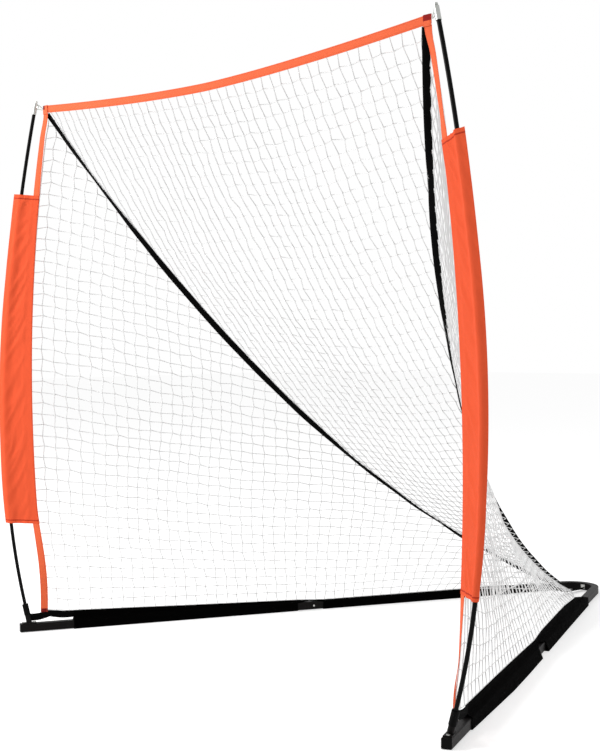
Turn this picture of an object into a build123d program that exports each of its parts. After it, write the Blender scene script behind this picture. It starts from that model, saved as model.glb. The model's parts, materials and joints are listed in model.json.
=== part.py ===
"""Portable bow-style practice goal: a steel V on the ground, two sprung side poles and a tent-shaped net.

Millimetres, +Z up. The mouth faces -Y. Points are first placed with y = 0 on the mouth line, where the
side poles stand, and `at` moves them to the part's frame: origin on the floor, in the middle of the goal.
"""

from build123d import *
import os
from cmath import exp, phase
from math import atan2, cos, degrees, radians, sin, sqrt, tan

# Ground frame: two rails of square tube that close in a V behind the net
RAIL_HALF_SPREAD = 938.0  # rail axis to the middle of the goal, on the mouth line
RAIL_MEETING = 2080.0  # mouth line to where the two rail axes would cross
RAIL_OVERHANG = 60.0  # rail in front of the mouth line
TUBE = 28.0
TUBE_WALL = 1.5
TUBE_ROUND = 2.5
BEND_RADIUS = 85.0
HEM_UNDER = 1.5  # the rails stand on the net's cloth hems, which lift them this much
MID_JOINT = 1000.0  # along the rail from the mouth line
CORNER_LEG = 38.2334  # straight end of the corner tube, from its joint to its bend
BUTT_GAP = 0.4
SPIGOT_WALL = 1.5
SPIGOT_BEFORE = 45.0
SPIGOT_AFTER = 36.0
FIT = 0.3
CAP_LIP = 3.0
CAP_PLUG = 7.0
CAP_WALL = 2.2

# Snap buttons that lock the rails together
BUTTON = 7.0
BUTTON_FLANGE = 10.4
BUTTON_FLANGE_THICK = 1.2
BUTTON_STANDS_OUT = 3.0
BUTTON_HOLE_PLAY = 0.4
BUTTON_SETBACK = 24.0  # joint to button
LEAF = 0.8
LEAF_WIDTH = 8.0
LEAF_BEND = 5.0
LEAF_REACH = 24.0

# Side poles: glass-fibre rods in three lengths, bowed outwards between socket and net corner
POLE = 12.0
SOCKET_BEHIND = -30.6  # socket centre along the rail, from the mouth line
POLE_SEAT = 8.0
POLE_GRIP = 62.0
FERRULE_HALF = 40.0
FERRULE_WALL = 1.1
POLE_PLAY = 0.15
TIP_STRAIGHT = 45.0
TURNS = (radians(16.6), radians(11.3), radians(6.1))  # bend of the lower, middle and upper length
BOW_FORWARD = radians(9.0)
POLE_TOP_OUT = 41.0  # outwards from the net's corner
POLE_TOP_BACK = -4.9
POLE_TOP_ABOVE = 19.5

# Socket on each rail and tip cap on each pole
SOCKET_WALL = 2.95
SOCKET_LENGTH = 63.5
FOOT_PLATE = (48.0, 3.0)
FOOT_PLATE_EDGE = 2.0  # from its long sides to the rail's
COLLAR_WALL = 0.95
COLLAR_FROM = 28.0
COLLAR_LIP = 4.5
SCREW = 5.0
SCREW_HEAD = (9.0, 2.6)
SCREW_SPACING = 34.0
NUT = (8.0, 4.0)
TIP_CAP_WALL = 1.35
TIP_CAP_DOWN = 34.0
TIP_CAP_CROWN = 4.0
TIP_KNOB = (11.0, 5.0)
EAR = (6.0, 5.0, 7.0)
RING_WIRE = 2.0
RING_HALF = 8.0
RING_ROUND = 2.5

# Net corners, straps and sleeves
WEB = 25.0
WEB_THICK = 1.5
STRAP_FOOT_IN = 2.3401  # from the rail's middle towards the net
STRAP_FOOT_BACK = 18.7
STRAP_FOOT_UP = 35.5  # above the rail
NET_HEIGHT = 1810.5  # the top strap's middle at the net's corners
NET_CORNER_IN = 77.6  # from the rail's front to the net's corner
NET_CORNER_BACK = 9.4
STRAP_BOW = (82.0, 14.0)  # outwards and forwards at half height
TOP_SAG = 45.2
TOP_SHAPE = 1.6  # how steeply the top strap rises to its corners
RIDGE_WIDTH = 22.0
RIDGE_START_IN = 5.4
RIDGE_START_DOWN = 0.5  # below the top strap's lower edge
RIDGE_END_BEFORE = 248.4  # in front of where the rail axes would cross
RIDGE_END_HEIGHT = 20.0
RIDGE_PULL = (52.6, 178.4, 154.5)  # sag inwards, forwards and down at half length
RIDGE_SKEW = -0.114
RIDGE_FROM = 0.006
RIDGE_TO = 0.965
NET = 1.5
NET_GAP = 0.5
SLEEVE_BOTTOM = 374.0
SLEEVE_BELOW_CORNER = 290.5
SLEEVE_FLAP = (21.0, 38.0)  # cloth outside the pole, at the bottom and the top
SLEEVE_CLOTH = 1.2
SLEEVE_PLAY = 0.75  # cloth to the poles' ferrules
SLEEVE_TAPER = 15.8  # from the tube round the pole to the flat cloth
PATCH_OVER = (2.0, 5.0)  # wider and higher than the straps it covers
PATCH_THICK = 1.2
PATCH_GAP = 1.2
STRAP_SEAM = 1.6  # front strap to the net sewn beside it
SLEEVE_STEPS = 9

# Cloth hems round the rails
HEM_START = 124.0
HEM_GAP_ROUND_JOINT = (40.0, 62.0)  # before and after the middle joint
HEM_END_BEFORE = 201.0  # before the corner joint
HEM_CLOTH = 1.4
FIN_STEP = 2.0  # hem's end to where its fin alone runs on
HEM_STRAP_KNEE_ALONG = 41.0
HEM_STRAP_UP = (22.5, 30.0, 19.5)  # above the rail: hem, knee and socket
HEM_STRAP_OUT = 2.4
APEX_STRAP = 20.0
APEX_STRAP_LOW = 9.0
APEX_TILT = radians(35)
HOOK = (18.0, 16.0, 2.0)

# Each hem's front and rear length at five even stations: upper edge above the rail, and how far the
# cloth bulges on the floor outside the rail's side
HEMS = {
    -1: ((35.5, 29.0, 22.0, 16.0, 10.5), (4.5, 4.2, 4.0, 3.8, 3.5)),
    1: ((36.5, 35.5, 34.0, 31.0, 27.0), (36.5, 40.5, 44.5, 37.0, 4.0)),
}
BULGES = {
    -1: ((2.5, 2.5, 2.5, 2.5, 2.5), (2.5, 2.5, 2.5, 2.5, 2.5)),
    1: ((3.0, 10.0, 17.0, 17.0, 15.0), (13.0, 10.5, 8.0, 6.0, 4.0)),
}

SIDES = {"left": -1, "right": 1}
PHI = atan2(RAIL_MEETING, RAIL_HALF_SPREAD)
RAIL_UP = HEM_UNDER + TUBE / 2
TUBE_TOP = HEM_UNDER + TUBE
BORE = TUBE - 2 * TUBE_WALL
SPIGOT = BORE - 2 * FIT
SPIGOT_INNER = SPIGOT - 2 * SPIGOT_WALL
TANGENT = RAIL_MEETING / sin(PHI) - BEND_RADIUS * tan(PHI)
CORNER_JOINT = TANGENT - CORNER_LEG
BEND_CENTRE = RAIL_MEETING - BEND_RADIUS / cos(PHI)
FRONT = -(RAIL_OVERHANG + CAP_LIP) * sin(PHI) - TUBE / 2 * cos(PHI)
REAR = BEND_CENTRE + BEND_RADIUS + TUBE / 2
MIDDLE = (FRONT + REAR) / 2

# Sizes that follow from what they fit
SOCKET_BORE = POLE + 2 * FIT
SOCKET_OUTER = SOCKET_BORE + 2 * SOCKET_WALL
COLLAR_OUTER = SOCKET_OUTER + 2 * FIT + 2 * COLLAR_WALL
TIP_CAP = POLE + 2 * POLE_PLAY + 2 * TIP_CAP_WALL
SLEEVE_HALF = POLE / 2 + POLE_PLAY + FERRULE_WALL + SLEEVE_PLAY + SLEEVE_CLOTH
STRAP_FOOT = (
    RAIL_HALF_SPREAD - (STRAP_FOOT_IN + STRAP_FOOT_BACK * cos(PHI)) / sin(PHI),
    STRAP_FOOT_BACK,
    TUBE_TOP + STRAP_FOOT_UP,
)
STRAP_CORNER = (RAIL_HALF_SPREAD - NET_CORNER_IN, NET_CORNER_BACK, NET_HEIGHT)
RIDGE_START = (STRAP_CORNER[0] - RIDGE_START_IN, NET_CORNER_BACK, NET_HEIGHT - WEB / 2 - RIDGE_START_DOWN)
RIDGE_END = (0.0, RAIL_MEETING - RIDGE_END_BEFORE, RIDGE_END_HEIGHT)
SLEEVE_TOP = NET_HEIGHT - SLEEVE_BELOW_CORNER
PATCH = (WEB + PATCH_OVER[0], WEB + PATCH_OVER[1])
HEM_GAP = (MID_JOINT - HEM_GAP_ROUND_JOINT[0], MID_JOINT + HEM_GAP_ROUND_JOINT[1])
HEM_END = CORNER_JOINT - HEM_END_BEFORE
HEM_STRAP_REAR, HEM_STRAP_KNEE, HEM_STRAP_FRONT = (TUBE_TOP + up for up in HEM_STRAP_UP)


def at(x, y, z):
    """The point's place in the part's frame."""
    return Vector(x, y - MIDDLE, z)


def rail_way(side):
    return Vector(-side * cos(PHI), sin(PHI), 0)


def rail_out(side):
    return Vector(side * sin(PHI), cos(PHI), 0)


def rail_point(side, along, out=0.0, height=RAIL_UP):
    foot = at(side * RAIL_HALF_SPREAD, 0, height)
    return foot + rail_way(side) * along + rail_out(side) * out


def mix(a, b, share):
    return a + (b - a) * share


# ---------------------------------------------------------------- steel V
def square_tube(side, start, end, outer=TUBE, wall=TUBE_WALL, rounding=TUBE_ROUND):
    inner_round = max(rounding - wall, 0.4)
    section = RectangleRounded(outer, outer, rounding)
    section -= RectangleRounded(outer - 2 * wall, outer - 2 * wall, inner_round)
    plane = Plane(rail_point(side, start), x_dir=rail_out(side), z_dir=rail_way(side))
    return extrude(plane * section, amount=end - start)


def button_drill(side, joint, diameter):
    """A hole through the rail's inner wall, where the snap button stands out."""
    plane = Plane(rail_point(side, joint + BUTTON_SETBACK), z_dir=-rail_out(side))
    return extrude(plane * Circle(diameter / 2), amount=TUBE)


def corner_tube():
    start = CORNER_JOINT + BUTT_GAP
    legs = [square_tube(side, start, TANGENT) for side in SIDES.values()]
    section = RectangleRounded(TUBE, TUBE, TUBE_ROUND)
    section -= RectangleRounded(BORE, BORE, TUBE_ROUND - TUBE_WALL)
    end = Plane(rail_point(-1, TANGENT), x_dir=rail_out(-1), z_dir=rail_way(-1))
    centre = at(0, BEND_CENTRE, RAIL_UP)
    bend = revolve(end * section, Axis(centre, (0, 0, -1)), 2 * degrees(PHI))
    tube = legs[0] + bend + legs[1]
    for side in SIDES.values():
        tube -= button_drill(side, CORNER_JOINT, BUTTON + BUTTON_HOLE_PLAY)
    return tube


def rear_rail(side):
    rail = square_tube(side, MID_JOINT + BUTT_GAP, CORNER_JOINT)
    return rail - button_drill(side, MID_JOINT, BUTTON + BUTTON_HOLE_PLAY)


def screw_places(side):
    middle = SOCKET_BEHIND
    return [rail_point(side, middle + k * SCREW_SPACING / 2, 0, TUBE_TOP) for k in (-1, 1)]


def front_rail(side):
    rail = square_tube(side, -RAIL_OVERHANG, MID_JOINT)
    for place in screw_places(side):
        rail -= Pos(place) * Cylinder(SCREW / 2 + 0.2, 4 * TUBE_WALL)
    return rail


def spigot(side, joint):
    tube = square_tube(side, joint - SPIGOT_BEFORE, joint + SPIGOT_AFTER, SPIGOT, SPIGOT_WALL, 1.2)
    return tube - button_drill(side, joint, BUTTON + BUTTON_HOLE_PLAY)


def end_cap(side):
    front = -RAIL_OVERHANG - CAP_LIP
    plane = Plane(rail_point(side, front), x_dir=rail_out(side), z_dir=rail_way(side))
    lip = extrude(plane * RectangleRounded(TUBE, TUBE, TUBE_ROUND), amount=CAP_LIP)
    plug = RectangleRounded(SPIGOT, SPIGOT, 1.2) - Rectangle(SPIGOT - 2 * CAP_WALL, SPIGOT - 2 * CAP_WALL)
    return lip + extrude(plane * plug, amount=CAP_LIP + CAP_PLUG)


# ---------------------------------------------------------------- snap buttons
def button_plane(side, joint):
    """x along the rail, y out of the rail's inner wall."""
    way = rail_way(side)
    inwards = -rail_out(side)
    return Plane(rail_point(side, joint + BUTTON_SETBACK), x_dir=way, z_dir=way.cross(inwards))


def snap_button(side, joint):
    wall = SPIGOT_INNER / 2
    flange_top = wall - FIT
    reach = TUBE / 2 + BUTTON_STANDS_OUT - flange_top
    plane = Plane(rail_point(side, joint + BUTTON_SETBACK), z_dir=-rail_out(side))
    stem = plane.offset(flange_top) * Pos(0, 0, reach / 2) * Cylinder(BUTTON / 2, reach)
    flange = plane.offset(flange_top - BUTTON_FLANGE_THICK / 2)
    return stem + flange * Cylinder(BUTTON_FLANGE / 2, BUTTON_FLANGE_THICK)


def button_arm(side, joint):
    """The sprung arm of the V-leaf, which the button is riveted to."""
    top = SPIGOT_INNER / 2 - FIT - BUTTON_FLANGE_THICK
    low = -SPIGOT_INNER / 2 + FIT + 2 * LEAF_BEND
    rise = LEAF_REACH - BUTTON
    outline = [
        (-LEAF_REACH + FIT, low), (-LEAF_REACH + rise, top), (BUTTON, top),
        (BUTTON, top - LEAF), (-LEAF_REACH + rise, top - LEAF), (-LEAF_REACH + FIT, low - LEAF),
    ]
    face = make_face(Polyline(*outline, close=True))
    return extrude(button_plane(side, joint) * face, amount=LEAF_WIDTH / 2, both=True)


def button_clip(side, joint):
    """The leaf's bend and its other arm, which lies on the spigot's far wall."""
    bottom = -SPIGOT_INNER / 2 + FIT
    ring = Circle(LEAF_BEND) - Circle(LEAF_BEND - LEAF)
    ring &= Pos(-LEAF_BEND, 0) * Rectangle(2 * LEAF_BEND, 2 * LEAF_BEND + 1)
    bend = Pos(-LEAF_REACH, bottom + LEAF_BEND) * ring
    arm = Pos(BUTTON / 2 - LEAF_REACH / 2, bottom + LEAF / 2) * Rectangle(LEAF_REACH + BUTTON, LEAF)
    return extrude(button_plane(side, joint) * (bend + arm), amount=LEAF_WIDTH / 2, both=True)


# ---------------------------------------------------------------- side poles
def pole_stretches(length):
    """(length, turn) of each straight or evenly bent stretch, section by section."""
    joint = FERRULE_HALF
    return [
        [(POLE_GRIP, 0), (length - POLE_GRIP - joint, TURNS[0]), (joint, 0)],
        [(joint, 0), (length - 2 * joint, TURNS[1]), (joint, 0)],
        [(joint, 0), (length - joint - TIP_STRAIGHT, TURNS[2]), (TIP_STRAIGHT, 0)],
    ]


def step(place, heading, length, turn):
    """The place and heading after one stretch, in the bow's own plane as complex numbers."""
    if turn == 0:
        return place + heading * length, heading
    arm = -1j * heading * length / turn
    return place + arm - arm * exp(-1j * turn), heading * exp(-1j * turn)


def pole_end(length):
    place, heading = complex(POLE_SEAT), 1 + 0j
    for section in pole_stretches(length):
        for stretch in section:
            place, heading = step(place, heading, *stretch)
    return place


def pole_base(side):
    return rail_point(side, SOCKET_BEHIND, 0, TUBE_TOP)


def pole_top(side):
    return at(side * (STRAP_CORNER[0] + POLE_TOP_OUT), POLE_TOP_BACK, NET_HEIGHT + POLE_TOP_ABOVE)


# Each of the three lengths is as long as the bow between socket and tip needs
CHORD = (pole_top(1) - pole_base(1)).length
POLE_LENGTH = CHORD / 3
for _ in range(30):
    POLE_LENGTH += (CHORD - abs(pole_end(POLE_LENGTH))) / 3
LEAN = -phase(pole_end(POLE_LENGTH))


def bow_plane(side):
    """x up the chord from socket to tip, y towards the bow's outside."""
    chord = (pole_top(side) - pole_base(side)).normalized()
    outwards = Vector(side * cos(BOW_FORWARD), -sin(BOW_FORWARD), 0)
    return Plane(pole_base(side), x_dir=chord, z_dir=chord.cross(outwards))


def in_space(side, place):
    plane = bow_plane(side)
    return plane.origin + plane.x_dir * place.real + plane.y_dir * place.imag


def direction(side, heading):
    plane = bow_plane(side)
    return plane.x_dir * heading.real + plane.y_dir * heading.imag


def pole_course(side):
    """Every stretch as (place, heading, length, turn), in three sections."""
    heading = exp(1j * LEAN)
    place = heading * POLE_SEAT
    course = []
    for section in pole_stretches(POLE_LENGTH):
        course.append([])
        for length, turn in section:
            course[-1].append((place, heading, length, turn))
            place, heading = step(place, heading, length, turn)
    return course, place, heading


def pole_section(side, which):
    solid = None
    for place, heading, length, turn in pole_course(side)[0][which]:
        plane = Plane(in_space(side, place), z_dir=direction(side, heading))
        disc = plane * Circle(POLE / 2)
        if turn:
            centre = in_space(side, place - 1j * heading * length / turn)
            piece = revolve(disc, Axis(centre, -bow_plane(side).z_dir), degrees(turn))
        else:
            piece = extrude(disc, amount=length)
        solid = piece if solid is None else solid + piece
    return solid


def pole_at(side, height):
    """The middle of the pole at a height above the floor."""
    for section in pole_course(side)[0]:
        for place, heading, length, turn in section:
            end = step(place, heading, length, turn)[0]
            if in_space(side, end).Z < height:
                continue
            low, high = 0.0, 1.0
            for _ in range(30):
                share = (low + high) / 2
                point = in_space(side, step(place, heading, length * share, turn * share)[0])
                low, high = (share, high) if point.Z < height else (low, share)
            return point
    return in_space(side, end)


def pole_plane(side, along):
    """A plane across the pole's straight foot, `along` from the rail's top."""
    heading = exp(1j * LEAN)
    return Plane(in_space(side, heading * along), z_dir=direction(side, heading))


def tip_plane(side, along=0.0):
    """A plane across the pole's tip; x points to the net's corner."""
    place, heading = pole_course(side)[1:]
    origin = in_space(side, place + heading * along)
    up = direction(side, heading)
    across = strap_point(side, 1) - origin
    return Plane(origin, x_dir=across - up * across.dot(up), z_dir=up)


def tube_between(plane, start, end, outer, inner):
    ring = Circle(outer / 2) - Circle(inner / 2)
    return extrude(plane.offset(start) * ring, amount=end - start)


def ferrules(side):
    sections = pole_course(side)[0]
    bore = POLE + 2 * POLE_PLAY
    out = []
    for which in (1, 2):
        place, heading = sections[which][0][:2]
        plane = Plane(in_space(side, place), z_dir=direction(side, heading))
        reach = FERRULE_HALF - 1
        out.append(tube_between(plane, -reach, reach, bore + 2 * FERRULE_WALL, bore))
    return Compound(out)


# ---------------------------------------------------------------- sockets, screws and tip caps
def pole_socket(side):
    plate_plane = Plane(pole_base(side), x_dir=rail_way(side), z_dir=(0, 0, 1))
    long, thick = FOOT_PLATE
    wide = TUBE - 2 * FOOT_PLATE_EDGE
    plate = plate_plane * Pos(0, 0, thick / 2) * Box(long, wide, thick)
    stub = extrude(pole_plane(side, -10) * Circle(SOCKET_OUTER / 2), amount=10 + SOCKET_LENGTH)
    stub -= Pos(pole_base(side)) * Pos(0, 0, -20) * Box(80, 80, 40)
    socket = plate + stub
    bore_start = POLE_SEAT - FIT
    drill = pole_plane(side, bore_start) * Circle(SOCKET_BORE / 2)
    socket -= extrude(drill, amount=SOCKET_LENGTH)
    for place in screw_places(side):
        socket -= Pos(place) * Cylinder(SCREW / 2 + 0.2, 4 * thick)
    return socket


def screws():
    """Four countersunk-style screws with their nuts, which hold the sockets on the rails."""
    solids = []
    head, head_high = SCREW_HEAD
    nut, nut_high = NUT
    plate = FOOT_PLATE[1]
    nut_top = -TUBE_WALL
    for side in SIDES.values():
        for place in screw_places(side):
            seat = Pos(place)
            shank_low = nut_top - nut_high - 2
            shank = seat * Pos(0, 0, (plate + shank_low) / 2) * Cylinder(SCREW / 2, plate - shank_low)
            top = seat * Pos(0, 0, plate + head_high / 2) * Cylinder(head / 2, head_high)
            solids.append(top + shank)
            face = RegularPolygon(nut / 2, 6, major_radius=False) - Circle(SCREW / 2)
            solids.append(extrude(seat * Pos(0, 0, nut_top - nut_high) * face, amount=nut_high))
    return Compound(solids)


def socket_collar(side):
    plane = pole_plane(side, 0)
    bore = SOCKET_OUTER + 2 * FIT
    body = tube_between(plane, COLLAR_FROM, SOCKET_LENGTH + FIT, COLLAR_OUTER, bore)
    lip_start = SOCKET_LENGTH + FIT
    return body + tube_between(plane, lip_start, lip_start + COLLAR_LIP, COLLAR_OUTER, SOCKET_BORE)


def tip_cap(side):
    plane = tip_plane(side)
    bore = POLE + 2 * POLE_PLAY
    body = extrude(plane.offset(-TIP_CAP_DOWN) * Circle(TIP_CAP / 2), amount=TIP_CAP_DOWN + TIP_CAP_CROWN)
    body -= extrude(plane.offset(-TIP_CAP_DOWN) * Circle(bore / 2), amount=TIP_CAP_DOWN + FIT)
    wide, high = TIP_KNOB
    neck = 3.0
    body += extrude(plane.offset(TIP_CAP_CROWN) * Circle(wide / 3), amount=neck)
    body += extrude(plane.offset(TIP_CAP_CROWN + neck) * Circle(wide / 2), amount=high)
    deep, thick, tall = EAR
    ear = plane * Pos(TIP_CAP / 2 + deep / 2 - 0.8, 0, -tall) * Box(deep, thick, tall)
    ear -= plane * Pos(ear_centre(), 0, -tall) * Cylinder(RING_WIRE / 2 + FIT, 2 * tall)
    return body + ear


def ear_centre():
    return TIP_CAP / 2 + EAR[0] - 0.8 - RING_WIRE / 2 - FIT - 1.2


def corner_ring(side):
    """A wire triangle: its short side runs through the cap's ear, its point holds the net's corner."""
    plane = tip_plane(side, -EAR[2])
    ear = plane.origin + plane.x_dir * ear_centre()
    corner = strap_point(side, 1) + Vector(side * (PATCH[0] / 2 + RING_WIRE / 2 + NET_GAP), 0, 0)
    half_angle = atan2(RING_HALF, (corner - ear).length)
    corner += (corner - ear).normalized() * RING_ROUND * (1 / sin(half_angle) - 1)
    points = [ear + plane.z_dir * RING_HALF, ear - plane.z_dir * RING_HALF, corner]
    return wire_loop(points, RING_ROUND, RING_WIRE)


def wire_loop(points, rounding, diameter):
    """A closed wire through three corners, each bent to the same radius."""
    normal = (points[1] - points[0]).cross(points[2] - points[1]).normalized()
    ways = [(points[(i + 1) % 3] - points[i]).normalized() for i in range(3)]
    turns = [radians(ways[i - 1].get_angle(ways[i])) for i in range(3)]
    cuts = [rounding * tan(turn / 2) for turn in turns]
    wire = None
    for i in range(3):
        length = (points[(i + 1) % 3] - points[i]).length - cuts[i] - cuts[(i + 1) % 3]
        disc = Plane(points[i] + ways[i] * cuts[i], z_dir=ways[i]) * Circle(diameter / 2)
        start = points[i] - ways[i - 1] * cuts[i]
        bend_disc = Plane(start, z_dir=ways[i - 1]) * Circle(diameter / 2)
        centre = start + normal.cross(ways[i - 1]) * rounding
        bend = revolve(bend_disc, Axis(centre, normal), degrees(turns[i]))
        piece = extrude(disc, amount=length) + bend
        wire = piece if wire is None else wire + piece
    return wire


# ---------------------------------------------------------------- cloth as thin closed solids
def facet(*corners):
    return Face(Wire.make_polygon(corners))


def cloth(rows, closed=False):
    """A closed solid between two layers of points: each row holds (face, lining) pairs."""
    faces = []

    def quad(a, b, c, d):
        faces.extend((facet(a, b, c), facet(a, c, d)))

    count = len(rows[0])
    steps = [(i, (i + 1) % count) for i in range(count if closed else count - 1)]
    for row, following in zip(rows, rows[1:]):
        for i, k in steps:
            for layer in (0, 1):
                quad(row[i][layer], row[k][layer], following[k][layer], following[i][layer])
        for i in () if closed else (0, -1):
            quad(row[i][0], row[i][1], following[i][1], following[i][0])
    for row in (rows[0], rows[-1]):
        for i, k in steps:
            quad(row[i][0], row[i][1], row[k][1], row[k][0])
    return Solid(Shell(faces))


def ribbon(stations, width, thick):
    """Webbing along stations of (middle, across, normal)."""
    rows = []
    for middle, across, normal in stations:
        edges = [middle - across * width / 2, middle + across * width / 2]
        rows.append([(p + normal * thick / 2, p - normal * thick / 2) for p in edges])
    return cloth(rows)


def strap_point(side, share):
    """The middle of the front strap, from the ground (0) to the net's corner (1)."""
    bow = 4 * share * (1 - share)
    x, y, z = (mix(a, b, share) for a, b in zip(STRAP_FOOT, STRAP_CORNER))
    return at(side * (x + STRAP_BOW[0] * bow), y - STRAP_BOW[1] * bow, z)


def strap_share(height):
    return (height - STRAP_FOOT[2]) / (STRAP_CORNER[2] - STRAP_FOOT[2])


def strap_turn(side, height):
    """How far the cloth at the pole is turned from the mouth's plane, at a height."""
    if height > SLEEVE_TOP:
        share = (height - SLEEVE_TOP) / (STRAP_CORNER[2] - WEB / 2 - SLEEVE_TOP)
        return strap_turn(side, SLEEVE_TOP) * max(1 - share, 0)
    if height < SLEEVE_BOTTOM:
        share = (SLEEVE_BOTTOM - height) / (SLEEVE_BOTTOM - STRAP_FOOT[2])
        return mix(strap_turn(side, SLEEVE_BOTTOM), PHI, min(share, 1))
    across = strap_point(side, strap_share(height)) - pole_at(side, height)
    return atan2(across.Y, -side * across.X)


def strap_frame(side, height):
    turn = strap_turn(side, height)
    across = Vector(-side * cos(turn), sin(turn), 0)
    normal = Vector(-side * sin(turn), -cos(turn), 0)
    return strap_point(side, strap_share(height)), across, normal


STRAP_TOP = STRAP_CORNER[2] - WEB / 2 - 4 * NET_GAP


def spread(start, end, steps):
    return [mix(start, end, i / steps) for i in range(steps + 1)]


def sleeve_heights():
    return spread(SLEEVE_BOTTOM, SLEEVE_TOP, SLEEVE_STEPS)


def front_strap(side):
    below = spread(STRAP_FOOT[2], SLEEVE_BOTTOM, 3)[:-1]
    above = spread(SLEEVE_TOP, STRAP_TOP, 3)[1:]
    heights = below + sleeve_heights() + above
    return ribbon([strap_frame(side, z) for z in heights], WEB, WEB_THICK)


def top_line(x):
    """The top strap's middle: it hangs between the two corners."""
    share = x / STRAP_CORNER[0]
    return at(x, STRAP_CORNER[1], STRAP_CORNER[2] - TOP_SAG * (1 - abs(share) ** TOP_SHAPE))


def top_strap():
    steps = 12
    half = STRAP_CORNER[0] + WEB / 2
    places = [mix(-half, half, i / steps) for i in range(steps + 1)]
    return ribbon([(top_line(x), Vector(0, 0, 1), Vector(0, -1, 0)) for x in places], WEB, WEB_THICK)


def corner_patch(side):
    wide, high = PATCH
    front = WEB_THICK / 2 + PATCH_GAP + PATCH_THICK / 2
    middle = strap_point(side, 1) + Vector(0, -front, (WEB - high) / 2)
    return Pos(middle) * Box(wide, PATCH_THICK, high)


def pole_sleeve(side):
    half, skin, back = SLEEVE_HALF, SLEEVE_CLOTH, -WEB_THICK / 2 - NET_GAP
    flat = half + 1 + SLEEVE_TAPER
    lining = flat - 6
    rows = []
    for i, height in enumerate(sleeve_heights()):
        middle, across, normal = strap_frame(side, height)
        pole = pole_at(side, height)
        flap = mix(*SLEEVE_FLAP, i / SLEEVE_STEPS)
        edge = (middle - pole).length + WEB / 2
        outer = [
            (-flap, 1), (-half - 1, half), (half + 1, half), (flat, back), (edge - WEB, back), (edge, back),
            (edge, back - 2), (flat, back - 2), (half + 1, -half), (-half - 1, -half), (-flap, -1),
        ]
        hollow = half - skin
        inner = [
            (8 - flap, 0.3), (-hollow - 0.6, hollow), (hollow + 0.6, hollow), (lining, back),
            (lining + 0.5, back - 0.3), (lining + 1, back - 0.6), (lining + 1, back - 1.4), (lining, back - 1.8),
            (hollow + 0.6, -hollow), (-hollow - 0.6, -hollow), (8 - flap, -0.3),
        ]
        rows.append([
            tuple(pole + across * a + normal * b for a, b in pair) for pair in zip(outer, inner)
        ])
    return cloth(rows, closed=True)


# ---------------------------------------------------------------- ridges and net
def ridge_point(side, share):
    """The strap from the net's top corner down to the rear, pulled into the net's hollow."""
    pull = 4 * share * (1 - share) * (1 + RIDGE_SKEW * (1 - 2 * share))
    x, y, z = (mix(a, b, share) - p * pull for a, b, p in zip(RIDGE_START, RIDGE_END, RIDGE_PULL))
    return at(side * x, y, z)


def ridge_frame(side, share):
    """Middle, across (from the back net to the side net) and normal of the ridge strap."""
    small = 1e-3
    way = (ridge_point(side, share + small) - ridge_point(side, share - small)).normalized()
    middle = ridge_point(side, share)
    towards = []
    for target in (ground_point(side, share), at(0, middle.Y + MIDDLE, middle.Z)):
        line = target - middle
        towards.append((line - way * line.dot(way)).normalized())
    across = (towards[0] - towards[1]).normalized()
    return middle, across, way.cross(across)


def between(values, share):
    """The value at a share of the way through evenly spaced values."""
    place = min(max(share, 0), 1) * (len(values) - 1)
    first = min(int(place), len(values) - 2)
    return mix(values[first], values[first + 1], place - first)


def hem_ends(which):
    return ((HEM_START, HEM_GAP[0]), (HEM_GAP[1], HEM_END))[which]


def hem_top(side, along):
    """Height of the hem's upper edge, where the net is sewn on; its fin runs on across the gap."""
    if HEM_GAP[0] < along < HEM_GAP[1]:
        share = (along - HEM_GAP[0]) / (HEM_GAP[1] - HEM_GAP[0])
        return TUBE_TOP + mix(HEMS[side][0][-1], HEMS[side][1][0], share)
    which = 0 if along <= HEM_GAP[0] else 1
    start, end = hem_ends(which)
    return TUBE_TOP + between(HEMS[side][which], (along - start) / (end - start))


def ground_point(side, share):
    """The net's lower edge: along the hem, then in to the rear point of the net."""
    along = mix(NET_FOOT, NET_END, min(share / GROUND_SHARE, 1))
    height = hem_top(side, along) + NET_GAP
    if along < HEM_START:
        knee = HEM_STRAP_KNEE + WEB / 2 + 2 * NET_GAP
        rise = min((HEM_START - along) / (HEM_START - HEM_STRAP_KNEE_ALONG), 1)
        height = max(mix(height, knee, rise), height)
    point = rail_point(side, along, 0, height)
    if share > GROUND_SHARE:
        rest = (share - GROUND_SHARE) / (1 - GROUND_SHARE)
        end = at(side * 4, RIDGE_END[1], 12)
        fall = mix(height, end.Z, rest * rest)
        point = mix(point, end, rest)
        point = Vector(point.X, point.Y, fall)
    return point


GROUND_SHARE = 0.88
NET_FOOT = STRAP_FOOT[1] + WEB
HEM_STATIONS = [mix(*hem_ends(which), i / 4) for which in (0, 1) for i in range(5)]
NET_END = HEM_STATIONS[-2]  # behind it the net leaves the hem and runs in to its rear point
HEM_SHARES = [GROUND_SHARE * (along - NET_FOOT) / (NET_END - NET_FOOT) for along in HEM_STATIONS[:-2]]
NET_SHARES = [0, *HEM_SHARES, GROUND_SHARE, 0.905, 0.96]


def side_net(side):
    """From the front strap and the ridge strap down to the hem."""
    steps = 6
    lining = rail_out(side) * NET
    rows = []
    for share in NET_SHARES:
        row = []
        middle, across, _ = ridge_frame(side, max(share, 2 * RIDGE_FROM))
        top = middle + across * (RIDGE_WIDTH / 2 + NET_GAP)
        foot = ground_point(side, share)
        for i in range(steps + 1):
            down = i / steps
            if share == 0:
                height = mix(top.Z, foot.Z + 6, down)
                centre, way, _ = strap_frame(side, height)
                point = centre + way * (WEB / 2 + STRAP_SEAM)
            else:
                bow = 4 * down * (1 - down) * STRAP_BOW[0] * 0.9 * (1 - share) ** 4
                point = mix(top, foot, down) + Vector(side * bow, -bow * 0.1, 0)
            row.append((point, point + lining))
        rows.append(row)
    return cloth(rows)


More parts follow.
